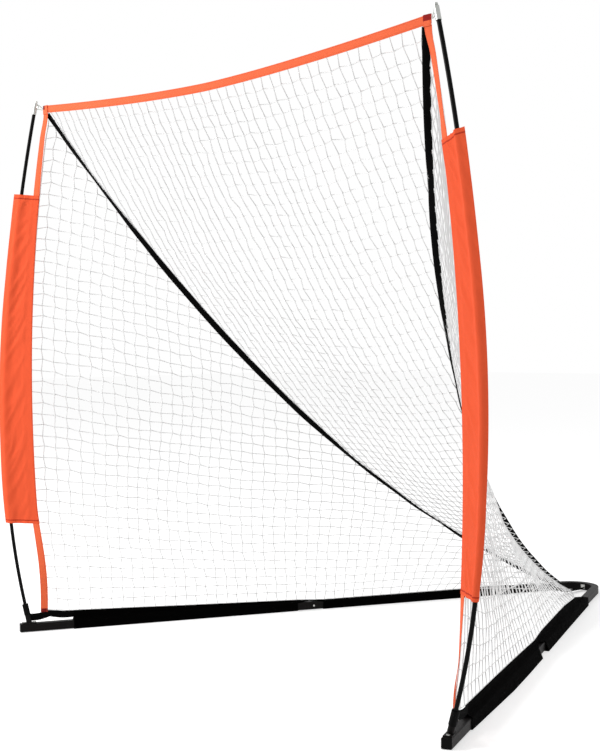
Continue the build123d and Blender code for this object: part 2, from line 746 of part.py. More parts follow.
def back_net():
    """Between the top strap and the two ridge straps."""
    steps = 12
    lining = Vector(0, 0.7, 0.7) * NET
    rows = []
    for share in NET_SHARES:
        row = []
        edges = []
        for side in (-1, 1):
            middle, across, _ = ridge_frame(side, max(share, 2 * RIDGE_FROM))
            edges.append(middle - across * (RIDGE_WIDTH / 2 + NET_GAP))
        for i in range(steps + 1):
            part = i / steps
            point = mix(*edges, part)
            if share == 0:
                below = top_line(point.X) - Vector(0, 0, WEB / 2 + NET_GAP + NET)
                point = Vector(point.X, below.Y, min(below.Z, mix(*edges, part).Z))
            else:
                point -= Vector(0, 0, 4 * part * (1 - part) * TOP_SAG * (1 - share) ** 2)
            row.append((point, point + lining))
        rows.append(row)
    return cloth(rows)


def ridge_strap(side):
    steps = 12
    shares = [mix(RIDGE_FROM, RIDGE_TO, i / steps) for i in range(steps + 1)]
    return ribbon([ridge_frame(side, share) for share in shares], RIDGE_WIDTH, WEB_THICK)


# ---------------------------------------------------------------- hems and the rear point
def hem(side, which):
    """Cloth wrapped round the rail, with a fin on top that reaches half across the gap at mid rail."""
    start, end = hem_ends(which)
    skin = HEM_CLOTH
    inside = TUBE / 2 + FIT
    outside = inside + skin
    shoulder = TUBE_TOP + FIT + skin
    low = HEM_UNDER - FIT
    way = 1 - 2 * which  # towards the gap
    tip = (HEM_GAP[which] + FIN_STEP * way, sum(HEM_GAP) / 2 - NET_GAP / 2 * way, 4 - 4 * which)
    stations = [(mix(start, end, i / 4), mix(start, end, i / 4), i) for i in range(5)]
    stations.insert(5 - 5 * which, tip)
    rows = []
    for along, fin, i in stations:
        top = hem_top(side, fin)
        bulge = max(TUBE / 2 + BULGES[side][which][i], outside)
        neck = shoulder + 0.3 * (top - shoulder)
        flank = (bulge + outside) / 2
        outer = [
            (-outside, 0), (bulge, 0), (flank, TUBE / 2), (outside, shoulder), (1.4, neck),
            (1.2, top), (-1.2, top), (-1.4, neck), (-outside, shoulder),
        ]
        inner = [
            (-inside, low), (bulge - skin, low), (flank - skin, TUBE / 2), (inside, TUBE_TOP + FIT),
            (0.2, neck - skin), (0.2, top - 1), (-0.2, top - 1), (-0.2, neck - skin), (-inside, TUBE_TOP + FIT),
        ]
        rows.append([
            tuple(rail_point(side, fin if height > shoulder else along, out, height) for out, height in pair)
            for pair in zip(outer, inner)
        ])
    return cloth(rows, closed=True)


def hem_strap(side):
    """Webbing from the hem's front edge past the front strap's foot to the socket's collar."""
    places = [(HEM_START - NET_GAP, HEM_STRAP_REAR), (HEM_STRAP_KNEE_ALONG, HEM_STRAP_KNEE)]
    points = [rail_point(side, along, HEM_STRAP_OUT, height) for along, height in places]
    collar = pole_at(side, HEM_STRAP_FRONT)
    back = points[1] - collar
    back = Vector(back.X, back.Y, 0).normalized()
    points.append(collar + back * (COLLAR_OUTER / 2 / cos(LEAN) + NET_GAP))
    up = Vector(0, 0, 1)
    return ribbon([(point, up, rail_out(side)) for point in points], WEB, WEB_THICK)


def hook_back():
    """Where the hook plate's edges meet the bend's inner face."""
    inner = BEND_RADIUS - TUBE / 2
    return BEND_CENTRE + sqrt(inner**2 - (HOOK[0] / 2) ** 2) - FIT


def apex_strap():
    across = Vector(cos(APEX_TILT), 0, sin(APEX_TILT))
    normal = Vector(-sin(APEX_TILT), 0, cos(APEX_TILT))
    start = ridge_point(1, RIDGE_TO)
    places = [
        at(0, start.Y + MIDDLE - 14, start.Z - 18),
        at(0, RIDGE_END[1], APEX_STRAP_LOW + 3),
        at(0, hook_back() - HOOK[2] - NET_GAP, APEX_STRAP_LOW),
    ]
    return ribbon([(place, across, normal) for place in places], APEX_STRAP, WEB_THICK)


def apex_hook():
    """Small steel plate on the inner face of the bend, which holds the apex strap."""
    wide, high, thick = HOOK
    return Pos(at(0, hook_back() - thick / 2, RAIL_UP)) * Box(wide, thick, high)


# ---------------------------------------------------------------- the parts
def parts():
    yield "rear_corner_tube", corner_tube()
    joints = {"mid": MID_JOINT, "corner": CORNER_JOINT}
    clips = []
    for name, side in SIDES.items():
        yield name + "_front_rail", front_rail(side)
        yield name + "_rear_rail", rear_rail(side)
        yield name + "_end_cap", end_cap(side)
        for place, joint in joints.items():
            yield f"{name}_{place}_spigot", spigot(side, joint)
            yield f"{name}_{place}_button", snap_button(side, joint)
            yield f"{name}_{place}_button_arm", button_arm(side, joint)
            clips.append(button_clip(side, joint))
        yield name + "_pole_socket", pole_socket(side)
        yield name + "_socket_collar", socket_collar(side)
        for which, section in enumerate(("lower", "middle", "upper")):
            yield f"{name}_{section}_pole", pole_section(side, which)
        yield name + "_pole_ferrules", ferrules(side)
        yield name + "_tip_cap", tip_cap(side)
        yield name + "_corner_ring", corner_ring(side)
        yield name + "_corner_patch", corner_patch(side)
        yield name + "_front_strap", front_strap(side)
        yield name + "_ridge_strap", ridge_strap(side)
        yield name + "_pole_sleeve", pole_sleeve(side)
        yield name + "_front_hem", hem(side, 0)
        yield name + "_rear_hem", hem(side, 1)
        yield name + "_hem_strap", hem_strap(side)
        yield name + "_side_net", side_net(side)
    yield "button_clips", Compound(clips)
    yield "socket_screws", screws()
    yield "top_strap", top_strap()
    yield "back_net", back_net()
    yield "apex_strap", apex_strap()
    yield "apex_hook", apex_hook()


os.makedirs("parts", exist_ok=True)
for part_name, solid in parts():
    export_step(solid, f"parts/{part_name}.step")
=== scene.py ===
"""Looks of the portable practice goal: net, webbing, sleeves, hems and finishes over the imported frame."""

import json
import logging
import math
from dataclasses import dataclass, replace
from enum import Enum
from typing import Callable, Sequence, TypeVar

import bpy
from mathutils import Matrix, Vector, noise


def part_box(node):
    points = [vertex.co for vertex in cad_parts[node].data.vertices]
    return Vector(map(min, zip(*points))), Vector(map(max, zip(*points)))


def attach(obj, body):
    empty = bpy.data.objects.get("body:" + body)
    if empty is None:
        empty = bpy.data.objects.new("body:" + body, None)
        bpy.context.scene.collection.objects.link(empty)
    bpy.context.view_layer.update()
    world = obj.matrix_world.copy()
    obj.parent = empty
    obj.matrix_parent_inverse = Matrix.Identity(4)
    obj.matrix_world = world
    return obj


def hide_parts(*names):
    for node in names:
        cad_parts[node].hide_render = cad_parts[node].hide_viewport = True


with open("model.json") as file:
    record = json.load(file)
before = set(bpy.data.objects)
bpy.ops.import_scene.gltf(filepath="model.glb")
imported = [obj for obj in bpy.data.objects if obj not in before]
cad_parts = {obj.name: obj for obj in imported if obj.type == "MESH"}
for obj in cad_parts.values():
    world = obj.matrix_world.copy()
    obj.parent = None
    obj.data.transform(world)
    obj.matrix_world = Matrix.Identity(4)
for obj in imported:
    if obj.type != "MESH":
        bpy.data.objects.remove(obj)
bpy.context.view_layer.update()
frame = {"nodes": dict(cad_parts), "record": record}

BODY = "frame"
LOG = logging.getLogger("goal")
PER_METRE = 1000  # millimetres
SEAM = 0.0001  # metres within which the two edges of a wrapped cloth are joined
NOISE_SEED = 1  # without a seed, noise_vector draws by the clock

Value = TypeVar("Value", float, Vector)
Place = Callable[[float, float], Vector]
Station = tuple[Vector, Vector, Vector]
Colour = tuple[float, float, float]
Socket = bpy.types.NodeSocket
Input = float | Colour | Socket
Inputs = dict[str | int, Input]


class Side(Enum):
    """The two sides of the goal, as seen from in front of its mouth."""

    LEFT = -1
    RIGHT = 1

    @property
    def label(self) -> str:
        """The word that starts this side's node names."""
        return self.name.lower()


class Weave(Enum):
    """How a woven cloth's threads cross: the share of diagonal rib in its relief."""

    PLAIN = 0.0
    WEBBING = 0.75


def mix(a: Value, b: Value, share: float) -> Value:
    """The value a share of the way from a to b."""
    return a + (b - a) * share


def smooth(share: float) -> float:
    """An even rise from 0 to 1."""
    share = min(max(share, 0.0), 1.0)
    return share * share * (3 - 2 * share)


def ease_ends(share: float, start: float, end: float) -> float:
    """1 along the middle and 0 at both ends; start and end say how quickly it gets there."""
    return smooth(share * start) * smooth((1 - share) * end)


def arch(share: float) -> float:
    """An even arch from 0 over 1 in the middle back to 0."""
    return 4 * share * (1 - share)


def between(values: Sequence[float], share: float) -> float:
    """The value a share of the way along a row of evenly spaced values.

    Args:
        values: The row.
        share: The share, which stops at the row's ends.

    Returns:
        The value in between.
    """
    place = min(max(share, 0.0), 1.0) * (len(values) - 1)
    first = min(int(place), len(values) - 2)
    return mix(values[first], values[first + 1], place - first)


def among(table: Sequence[tuple[float, float]], share: float) -> float:
    """The value at a share, eased between the rows of a table.

    Args:
        table: Rows of share and value.
        share: The share.

    Returns:
        The value, which stays the last row's beyond it.
    """
    for (low, first), (high, last) in zip(table, table[1:]):
        if share <= high:
            return mix(first, last, smooth((share - low) / (high - low)))
    return table[-1][1]


# ------------------------------------------------------------------ the goal's lines
@dataclass(frozen=True)
class Ripple:
    """A soft, repeatable unevenness of a net panel, which dies away at its edges.

    Attributes:
        size: Size of its waves.
        amount: How far it moves the net.
        seed: Picks its pattern.
        between: How quickly it sets in between the two edges on either side.
        start: How quickly it sets in from the panel's first edge.
        end: How early it dies away before the panel's far point.
    """

    size: float
    amount: float
    seed: float
    between: float
    start: float
    end: float

    def moved(self, point: Vector, part: float, run: float) -> Vector:
        """A point with the unevenness.

        Args:
            point: The point.
            part: Share of the way from one side edge to the other.
            run: Share of the way from the first edge to the far point.

        Returns:
            The moved point.
        """
        free = smooth(self.between * arch(part)) * smooth(run * self.start) * min(self.end * (1 - run), 1)
        offset = Vector((self.seed, 2 * self.seed, 3 * self.seed))
        return point + noise.noise_vector(point / self.size + offset) * (self.amount * free)


@dataclass(frozen=True)
class Drape:
    """How one side's webbing and hems hang.

    Attributes:
        strap_ends: How quickly the front strap's bow sets in above its foot and below its corner.
        strap_roll: Degrees that the front strap rolls out of the mouth's plane above the sleeve.
        ridge_turns: Degrees that the ridge strap is twisted about its run, by share from the corner.
        free_from: Share of the ridge beyond which the side net goes under the strap.
        hem_tops: Millimetres that the hem's upper edge stands above the rail, evenly spaced along
            the front length, and then along the rear length.
        hem_bulges: Millimetres that the hem's cloth stands out beside the rail, in the same way.
        net_lift: How far the side net's rows are lifted beside the front strap, as a share of its height.
        net_ripples: The side net's unevenness.
        laced: The ridge lacing makes two strokes for every pitch in this length.
    """

    strap_ends: tuple[float, float]
    strap_roll: float
    ridge_turns: tuple[tuple[float, float], ...]
    free_from: float
    hem_tops: tuple[tuple[float, ...], tuple[float, ...]]
    hem_bulges: tuple[tuple[float, ...], tuple[float, ...]]
    net_lift: float
    net_ripples: tuple[Ripple, ...]
    laced: float


FINE_RIPPLE = Ripple(0.055, 0.0048, 7.0, between=2, start=12, end=1.6)
DRAPES = {
    Side.LEFT: Drape(
        strap_ends=(4.5, 20.0),
        strap_roll=0.0,
        ridge_turns=((0, 20), (0.04, 32), (0.10, 47), (0.13, 35), (0.19, 8), (0.28, -13), (0.40, -15),
                     (0.49, 4), (0.61, 24), (0.73, 22), (0.85, 13), (0.97, -7)),
        free_from=1.0,
        hem_tops=((35.5, 29.0, 22.0, 16.0, 10.5), (4.5, 4.2, 4.0, 3.8, 3.5)),
        hem_bulges=((2.5, 2.5), (2.5, 2.5)),
        net_lift=0.0,
        net_ripples=(Ripple(0.42, 0.030, 2.0, between=1, start=9, end=1.6), FINE_RIPPLE),
        laced=2.5,
    ),
    Side.RIGHT: Drape(
        strap_ends=(12.0, 20.0),
        strap_roll=13.0,
        ridge_turns=((0, -50), (0.07, -51), (0.13, -35), (0.18, -25), (0.24, -35), (0.31, -12), (0.40, 16),
                     (0.46, 20), (0.52, 16), (0.57, 4), (0.64, -32), (0.79, -36), (0.97, -38)),
        free_from=0.53,
        hem_tops=((36.5, 35.5, 34.0, 31.0, 27.0), (36.5, 40.5, 44.5, 37.0, 4.0)),
        hem_bulges=((3.0, 10.0, 17.0, 17.0, 15.0), (13.0, 10.5, 8.0, 6.0, 4.0)),
        net_lift=0.13,
        net_ripples=(Ripple(0.42, 0.030, 4.0, between=1, start=9, end=1.6), FINE_RIPPLE),
        laced=1.7,
    ),
}


@dataclass(frozen=True)
class Lines:
    """Where the rails, poles, straps and hems run, in metres.

    A distance along a rail starts at the mouth line. A place (x, y, z) is on the right side, with y
    measured back from the mouth line.
    """

    rail_half_spread: float = 0.938
    rail_meeting: float = 2.080
    bend_radius: float = 0.085
    tube: float = 0.028
    overhang: float = 0.063
    under: float = 0.0015
    socket: float = -0.0306
    pole_seat: float = 0.008
    pole_grip: float = 0.062
    pole_joint: float = 0.040
    pole_tip: float = 0.045
    pole_turns: tuple[float, float, float] = (16.6, 11.3, 6.1)  # degrees, for each pole length
    bow_forward: float = 9.0  # degrees
    pole_top: tuple[float, float, float] = (0.9014, -0.0049, 1.830)
    web: float = 0.025
    web_thick: float = 0.0015
    strap_foot: tuple[float, float, float] = (0.927, 0.0187, 0.065)
    strap_corner: tuple[float, float, float] = (0.8604, 0.0094, 1.8105)
    strap_bow: tuple[float, float] = (0.082, 0.014)
    roll_ends: tuple[float, float] = (6.0, 5.0)  # how quickly a strap's roll sets in at either end
    top_sag: float = 0.0452
    top_shape: float = 1.6
    ridge_start: tuple[float, float, float] = (0.855, 0.0094, 1.7975)
    ridge_end: tuple[float, float, float] = (0.0, 1.8316, 0.020)
    ridge_pull: tuple[float, float, float] = (0.0526, 0.1784, 0.1545)
    ridge_skew: float = -0.114
    sleeve: tuple[float, float] = (0.374, 1.520)
    hem_start: float = 0.124
    hem_gap: tuple[float, float] = (0.960, 1.062)
    hem_end: float = 1.854
    hem_knee: float = 0.041
    net_foot: float = 0.0437
    net_end: float = 1.656
    net_knee: float = 0.073
    net_rear: tuple[float, float] = (0.004, 0.012)  # half width and height of the net's rear point
    ground_share: float = 0.88  # of the net's lower edge, that runs along the hem

    @property
    def angle(self) -> float:
        """The rails' angle from the mouth's plane."""
        return math.atan2(self.rail_meeting, self.rail_half_spread)

    @property
    def middle(self) -> float:
        """From the mouth line back to the middle of the goal.

        Returns:
            The distance.
        """
        front = -self.overhang * math.sin(self.angle) - self.tube / 2 * math.cos(self.angle)
        bend = self.rail_meeting - self.bend_radius / math.cos(self.angle)
        return (front + bend + self.bend_radius + self.tube / 2) / 2

    @property
    def tube_top(self) -> float:
        """Height of the rails' upper face."""
        return self.under + self.tube

    def at(self, x: float, y: float, z: float) -> Vector:
        """The frame's point for a place measured from the mouth line."""
        return Vector((x, y - self.middle, z))

    def rail_way(self, side: Side) -> Vector:
        """Backwards along a rail."""
        return Vector((-side.value * math.cos(self.angle), math.sin(self.angle), 0))

    def rail_out(self, side: Side) -> Vector:
        """Square to a rail, away from the net."""
        return Vector((side.value * math.sin(self.angle), math.cos(self.angle), 0))

    def rail_point(self, side: Side, along: float, out: float, height: float) -> Vector:
        """A point at a distance along a rail and out from its axis, at a height above the floor."""
        foot = self.at(side.value * self.rail_half_spread, 0, height)
        return foot + self.rail_way(side) * along + self.rail_out(side) * out

    def stretches(self, length: float) -> list[tuple[float, float]]:
        """The straight and bent stretches of a pole.

        Args:
            length: Length of each of the pole's three lengths.

        Returns:
            Length and turn of each stretch, from the seat up.
        """
        joint = self.pole_joint
        lower, middle, upper = (math.radians(turn) for turn in self.pole_turns)
        return [
            (self.pole_grip, 0.0), (length - self.pole_grip - joint, lower), (joint, 0.0),
            (joint, 0.0), (length - 2 * joint, middle), (joint, 0.0),
            (joint, 0.0), (length - joint - self.pole_tip, upper), (self.pole_tip, 0.0),
        ]

    def walk(self, length: float, steps: int = 24) -> list[complex]:
        """Points of the pole's bow in its own plane, from its seat on.

        Args:
            length: Length of each of the pole's three lengths.
            steps: Points for each stretch.

        Returns:
            The points.
        """
        place, heading, points = complex(self.pole_seat), 1 + 0j, []
        for run, turn in self.stretches(length):
            for _ in range(steps):
                half = complex(math.cos(turn / steps / 2), -math.sin(turn / steps / 2))
                points.append(place)
                place += heading * half * run / steps
                heading *= half * half
        return points + [place]

    def pole_line(self, side: Side, rounds: int = 30) -> list[Vector]:
        """The middle line of a pole, bowed between its socket and its top.

        Args:
            side: The goal's side.
            rounds: How often its length is put right until the bow spans the two ends.

        Returns:
            Points up the pole.
        """
        base = self.rail_point(side, self.socket, 0, self.tube_top)
        top = self.at(side.value * self.pole_top[0], *self.pole_top[1:])
        chord, length = top - base, (top - base).length / 3
        for _ in range(rounds):
            length += (chord.length - abs(self.walk(length)[-1])) / 3
        line = self.walk(length)
        lean = line[-1].conjugate() / abs(line[-1])
        forward = math.radians(self.bow_forward)
        outwards = Vector((side.value * math.cos(forward), -math.sin(forward), 0))
        along = chord.normalized()
        across = along.cross(outwards).cross(along).normalized()
        turned = [point * lean for point in line]
        return [base + along * point.real + across * point.imag for point in turned]

    def strap_point(self, side: Side, share: float) -> Vector:
        """The front strap's middle.

        Args:
            side: The goal's side.
            share: Place on the strap, from its foot to the net's corner.

        Returns:
            The point in the frame.
        """
        bow = arch(share) * ease_ends(share, *DRAPES[side].strap_ends)
        x, y, z = (mix(a, b, share) for a, b in zip(self.strap_foot, self.strap_corner))
        return self.at(side.value * (x + self.strap_bow[0] * bow), y - self.strap_bow[1] * bow, z)

    def strap_share(self, height: float) -> float:
        """Where on the front strap a height is."""
        return (height - self.strap_foot[2]) / (self.strap_corner[2] - self.strap_foot[2])

    def top_line(self, x: float) -> Vector:
        """The top strap's middle, which hangs between the corners."""
        hang = 1 - min(abs(x) / self.strap_corner[0], 1) ** self.top_shape
        return self.at(x, self.strap_corner[1], self.strap_corner[2] - self.top_sag * hang)

    def ridge_point(self, side: Side, share: float) -> Vector:
        """The ridge strap's middle.

        Args:
            side: The goal's side.
            share: Place on the ridge, from the top corner to the net's rear point.

        Returns:
            The point in the frame.
        """
        pull = arch(share) * (1 + self.ridge_skew * (1 - 2 * share))
        ends = zip(self.ridge_start, self.ridge_end, self.ridge_pull)
        x, y, z = (mix(a, b, share) - p * pull for a, b, p in ends)
        return self.at(side.value * x, y, z)


LINES = Lines()
POLES = {side: LINES.pole_line(side) for side in Side}


def pole_at(side: Side, height: float) -> Vector:
    """The middle of a pole at a height.

    Args:
        side: The goal's side.
        height: Height above the floor.

    Returns:
        The point in the frame.
    """
    line = POLES[side]
    for low, high in zip(line, line[1:]):
        if high.z >= height:
            return mix(low, high, max((height - low.z) / (high.z - low.z), 0))
    return line[-1]


def strap_turn(side: Side, height: float) -> float:
    """How far the front strap is turned out of the mouth's plane.

    Args:
        side: The goal's side.
        height: Height above the floor.

    Returns:
        The angle: along the sleeve it follows the cloth, and below it turns until it lies on the hem strap.
    """
    low, high = LINES.sleeve
    if height > high:
        share = (height - high) / (LINES.strap_corner[2] - LINES.web / 2 - high)
        rolled = math.radians(DRAPES[side].strap_roll) * ease_ends(share, *LINES.roll_ends)
        return strap_turn(side, high) * max(1 - share, 0) + rolled
    if height < low:
        share = (low - height) / (low - LINES.strap_foot[2])
        return mix(strap_turn(side, low), LINES.angle, min(share, 1))
    across = LINES.strap_point(side, LINES.strap_share(height)) - pole_at(side, height)
    return math.atan2(across.y, -side.value * across.x)


def strap_frame(side: Side, height: float) -> Station:
    """The front strap's station at a height.

    Args:
        side: The goal's side.
        height: Height above the floor.

    Returns:
        Its middle, the way across it towards the net, and its outer normal.
    """
    turn = strap_turn(side, height)
    across = Vector((-side.value * math.cos(turn), math.sin(turn), 0))
    normal = Vector((-side.value * math.sin(turn), -math.cos(turn), 0))
    return LINES.strap_point(side, LINES.strap_share(height)), across, normal


def hem_top(side: Side, along: float) -> float:
    """Height of a hem's upper edge, where the net is sewn on.

    Args:
        side: The goal's side.
        along: Distance along the rail.

    Returns:
        The height above the floor.
    """
    front, rear = DRAPES[side].hem_tops
    gap_start, gap_end = LINES.hem_gap
    if along < gap_start:
        above = between(front, (along - LINES.hem_start) / (gap_start - LINES.hem_start))
    elif along > gap_end:
        above = between(rear, (along - gap_end) / (LINES.hem_end - gap_end))
    else:
        above = mix(front[-1], rear[0], (along - gap_start) / (gap_end - gap_start))
    return LINES.tube_top + above / PER_METRE


def ground_point(side: Side, share: float) -> Vector:
    """The net's lower edge, which runs along the hem and then in to the net's rear point.

    Args:
        side: The goal's side.
        share: Place on the edge, from the mouth.

    Returns:
        The point in the frame.
    """
    along = mix(LINES.net_foot, LINES.net_end, min(share / LINES.ground_share, 1))
    height = hem_top(side, along)
    if along < LINES.hem_start:
        rise = min((LINES.hem_start - along) / (LINES.hem_start - LINES.hem_knee), 1)
        height = max(mix(height, LINES.net_knee, rise), height)
    point = LINES.rail_point(side, along, 0, height)
    if share > LINES.ground_share:
        rest = (share - LINES.ground_share) / (1 - LINES.ground_share)
        end = LINES.at(side.value * LINES.net_rear[0], LINES.ridge_end[1], LINES.net_rear[1])
        point = mix(point, end, rest)
        point.z = mix(height, end.z, rest * rest)
    return point


@dataclass(frozen=True)
class Ridge:
    """The line of the strap along one ridge, and where the nets are sewn to it.

    Attributes:
        side: The goal's side.
        width: Width of the strap.
        laid: Shares of the ridge at which the strap starts and ends.
        sewn: Shares at which the nets' edges start and end.
        sewn_in: How far the nets' edges lie inside the strap's edges.
        sewn_off: How far they lie off the strap's middle plane.
        tuck: Share of the ridge over which the side net passes under the strap.
        tuck_depth: How far across the strap it passes, in half widths.
        away: A way out of the goal's hollow, on the right side.
        step: Share of the ridge over which its run is measured.
    """

    side: Side
    width: float = 0.022
    laid: tuple[float, float] = (0.002, 0.965)
    sewn: tuple[float, float] = (0.006, 0.985)
    sewn_in: float = 0.0015
    sewn_off: float = 0.0026
    tuck: float = 0.06
    tuck_depth: float = 1.9
    away: tuple[float, float, float] = (0.4, 0.5, 0.8)
    step: float = 1e-3

    def level(self, share: float) -> Station:
        """The ridge's station before the strap is twisted.

        Args:
            share: Place on the ridge, from the corner.

        Returns:
            Its middle, the way across it from back net to side net, and the normal.
        """
        middle = LINES.ridge_point(self.side, share)
        ahead = LINES.ridge_point(self.side, share + self.step)
        way = (ahead - LINES.ridge_point(self.side, share - self.step)).normalized()
        towards = []
        for target in (ground_point(self.side, share), Vector((0, middle.y, middle.z))):
            line = target - middle
            towards.append((line - way * line.dot(way)).normalized())
        across = (towards[0] - towards[1]).normalized()
        return middle, across, way.cross(across)

    def twisted(self, share: float) -> Station:
        """The strap's station with its twist.

        Args:
            share: Place on the ridge, from the corner.

        Returns:
            Its middle, the way across it and its normal.
        """
        middle, across, normal = self.level(share)
        turn = math.radians(among(DRAPES[self.side].ridge_turns, share))
        cos, sin = math.cos(turn), math.sin(turn)
        return middle, across * cos + normal * sin, normal * cos - across * sin

    def outer(self, share: float) -> Vector:
        """The twisted strap's normal that points away from the goal's hollow.

        Args:
            share: Place on the ridge, from the corner.

        Returns:
            The normal.
        """
        level, turned = self.level(share)[2], self.twisted(share)[2]
        away = Vector((self.side.value * self.away[0], *self.away[1:]))
        return turned if level.dot(away) > 0 else -turned

    def edge(self, share: float, way: int) -> Vector:
        """Where a net panel is sewn to the strap.

        Args:
            share: Place on the ridge, from the corner.
            way: 1 for the side net's edge, -1 for the back net's edge.

        Returns:
            The point: on the outer face, or on the under face where the side net has passed under.
        """
        share = min(max(share, self.sewn[0]), self.sewn[1])
        middle, across, _ = self.twisted(share)
        under = smooth((share - DRAPES[self.side].free_from) / self.tuck) if way > 0 else 0.0
        reach = way * (1 - self.tuck_depth * under) * (self.width / 2 - self.sewn_in)
        return middle + across * reach + self.outer(share) * self.sewn_off * (1 - 2 * under)


RIDGES = {side: Ridge(side) for side in Side}


# ------------------------------------------------------------------ modelling by hand
def select_only(obj: bpy.types.Object) -> None:
    """Makes one object the active and only selected one.

    Args:
        obj: The object.
    """
    bpy.ops.object.select_all(action="DESELECT")
    obj.select_set(True)
    bpy.context.view_layer.objects.active = obj


def apply_modifier(obj: bpy.types.Object, kind: str, **settings: object) -> None:
    """Adds a modifier with its settings and applies it.

    Args:
        obj: The object.
        kind: The modifier's type.
        **settings: The modifier's settings.
    """
    select_only(obj)
    modifier = obj.modifiers.new(kind.title(), kind)
    for name, value in settings.items():
        setattr(modifier, name, value)
    bpy.ops.object.modifier_apply(modifier=modifier.name)


def blank_grid(name: str, columns: int, rows: int) -> bpy.types.Object:
    """A flat unit grid from (0, 0) to (1, 1), the start of every cloth piece.

    Args:
        name: The piece's name.
        columns: Divisions across it.
        rows: Divisions along it.

    Returns:
        The grid.
    """
    bpy.ops.object.select_all(action="DESELECT")
    bpy.ops.mesh.primitive_grid_add(x_subdivisions=columns, y_subdivisions=rows, size=1)
    grid = bpy.context.object
    grid.name = grid.data.name = name
    grid.data.transform(Matrix.Translation((0.5, 0.5, 0)))
    return grid


def lay_out(grid: bpy.types.Object, place: Place, flat: tuple[float, float]) -> None:
    """Moves each point of a flat unit grid to its place; its UV map keeps the flat cloth in metres.

    Args:
        grid: The grid, from (0, 0) to (1, 1).
        place: Gives the point in the frame for the two shares.
        flat: Width and length of the flat cloth.
    """
    mesh = grid.data
    uvs = mesh.uv_layers.active.data
    for loop in mesh.loops:
        point = mesh.vertices[loop.vertex_index].co
        uvs[loop.index].uv = (point.x * flat[0], point.y * flat[1])
    for vertex in mesh.vertices:
        vertex.co = place(vertex.co.x, vertex.co.y)
    mesh.update()


def outwards(obj: bpy.types.Object, merge: float = 0.0) -> None:
    """Merges doubled points and turns all faces outwards.

    Args:
        obj: The object.
        merge: Distance below which points are merged.
    """
    select_only(obj)
    bpy.ops.object.mode_set(mode="EDIT")
    bpy.ops.mesh.select_all(action="SELECT")
    if merge:
        bpy.ops.mesh.remove_doubles(threshold=merge)
    bpy.ops.mesh.normals_make_consistent(inside=False)
    bpy.ops.object.mode_set(mode="OBJECT")


def wrap_round(grid: bpy.types.Object, place: Place, flat: tuple[float, float], thick: float) -> None:
    """Wraps a flat unit grid into a closed tube and gives it the cloth's thickness.

    Args:
        grid: The grid.
        place: Gives the point in the frame for the shares round the tube and along it.
        flat: Width and length of the flat cloth.
        thick: Thickness of the cloth.
    """
    lay_out(grid, place, flat)
    outwards(grid, merge=SEAM)
    apply_modifier(grid, "SOLIDIFY", thickness=thick, offset=-1, use_even_offset=True)


def hand_in(
    obj: bpy.types.Object,
    finish: bpy.types.Material,
    slot: str,
    nodes: Sequence[str] = (),
    degrees: float = 50,
) -> bpy.types.Object:
    """Dresses a finished piece, shades it smooth and fixes it to the frame.

    Args:
        obj: The piece.
        finish: Its material.
        slot: The record's material slot; not used.
        nodes: The CAD nodes that it stands for.
        degrees: Angle above which its edges stay hard.

    Returns:
        The piece.
    """
    obj.data.materials.clear()
    obj.data.materials.append(finish)
    select_only(obj)
    bpy.ops.object.shade_smooth_by_angle(angle=math.radians(degrees))
    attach(obj, BODY)
    if nodes:
        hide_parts(*nodes)
    LOG.info("%s: %d faces", obj.name, len(obj.data.polygons))
    return obj


# ------------------------------------------------------------------ shader parts
class Shader:
    """A material or node group under construction."""

    def __init__(self, tree: bpy.types.NodeTree) -> None:
        """Starts with a node tree."""
        self.tree = tree

    def fill(self, made: bpy.types.Node, inputs: Inputs) -> bpy.types.Node:
        """Fills a node's inputs.

        Args:
            made: The node.
            inputs: Values, colours or other nodes' output sockets by input name or number.

        Returns:
            The node.
        """
        for name, value in inputs.items():
            socket = made.inputs[name]
            if isinstance(value, Socket):
                self.tree.links.new(value, socket)
            else:
                socket.default_value = (*value, 1) if socket.type == "RGBA" else value
        return made

    def node(self, kind: str, inputs: Inputs | None = None, **settings: object) -> bpy.types.Node:
        """Adds a node.

        Args:
            kind: The node's type without the leading ShaderNode.
            inputs: Values, colours or other nodes' output sockets by input name or number.
            **settings: The node's own settings.

        Returns:
            The node.
        """
        made = self.tree.nodes.new("ShaderNode" + kind)
        for name, value in settings.items():
            setattr(made, name, value)
        return self.fill(made, inputs or {})

    def maths(self, operation: str, a: Input, b: Input = 0.0, clamp: bool = False) -> Socket:
        """The result of a Math node."""
        return self.node("Math", {0: a, 1: b}, operation=operation, use_clamp=clamp).outputs[0]

    def wave(self, value: Socket) -> Socket:
        """A row of even humps, one for each half turn of a value."""
        return self.maths("ABSOLUTE", self.maths("SINE", value))

    def blend(self, share: Input, a: Input, b: Input) -> Socket:
        """A colour between two colours, which are the Mix node's inputs 6 and 7."""
        return self.node("Mix", {"Factor": share, 6: a, 7: b}, data_type="RGBA").outputs[2]

    def speckle(self, place: Socket, scale: Input, detail: float, rough: float = 0.5) -> Socket:
        """The value of a Noise Texture node."""
        inputs = {"Vector": place, "Scale": scale, "Detail": detail, "Roughness": rough}
        return self.node("TexNoise", inputs).outputs[0]

    def relief(self, height: Socket, distance: float, strength: float) -> Socket:
        """The normal of a surface raised by a height."""
        return self.node("Bump", {"Height": height, "Distance": distance, "Strength": strength}).outputs[0]

    def space(self) -> Socket:
        """The piece's Object coordinates."""
        return self.node("TexCoord").outputs["Object"]

    def use(self, effect: str, inputs: Inputs) -> bpy.types.NodeOutputs:
        """The outputs of a shared effect, placed with its inputs."""
        return self.node("Group", inputs, node_tree=EFFECTS[effect]).outputs

    def seen(self) -> Socket:
        """1 for the camera's rays, also by way of shine or glass, and 0 for the rays that carry light.

        Returns:
            The mask.
        """
        rays = self.node("LightPath").outputs
        direct = self.maths("MAXIMUM", rays["Is Camera Ray"], rays["Is Glossy Ray"])
        return self.maths("MAXIMUM", direct, rays["Is Transmission Ray"])


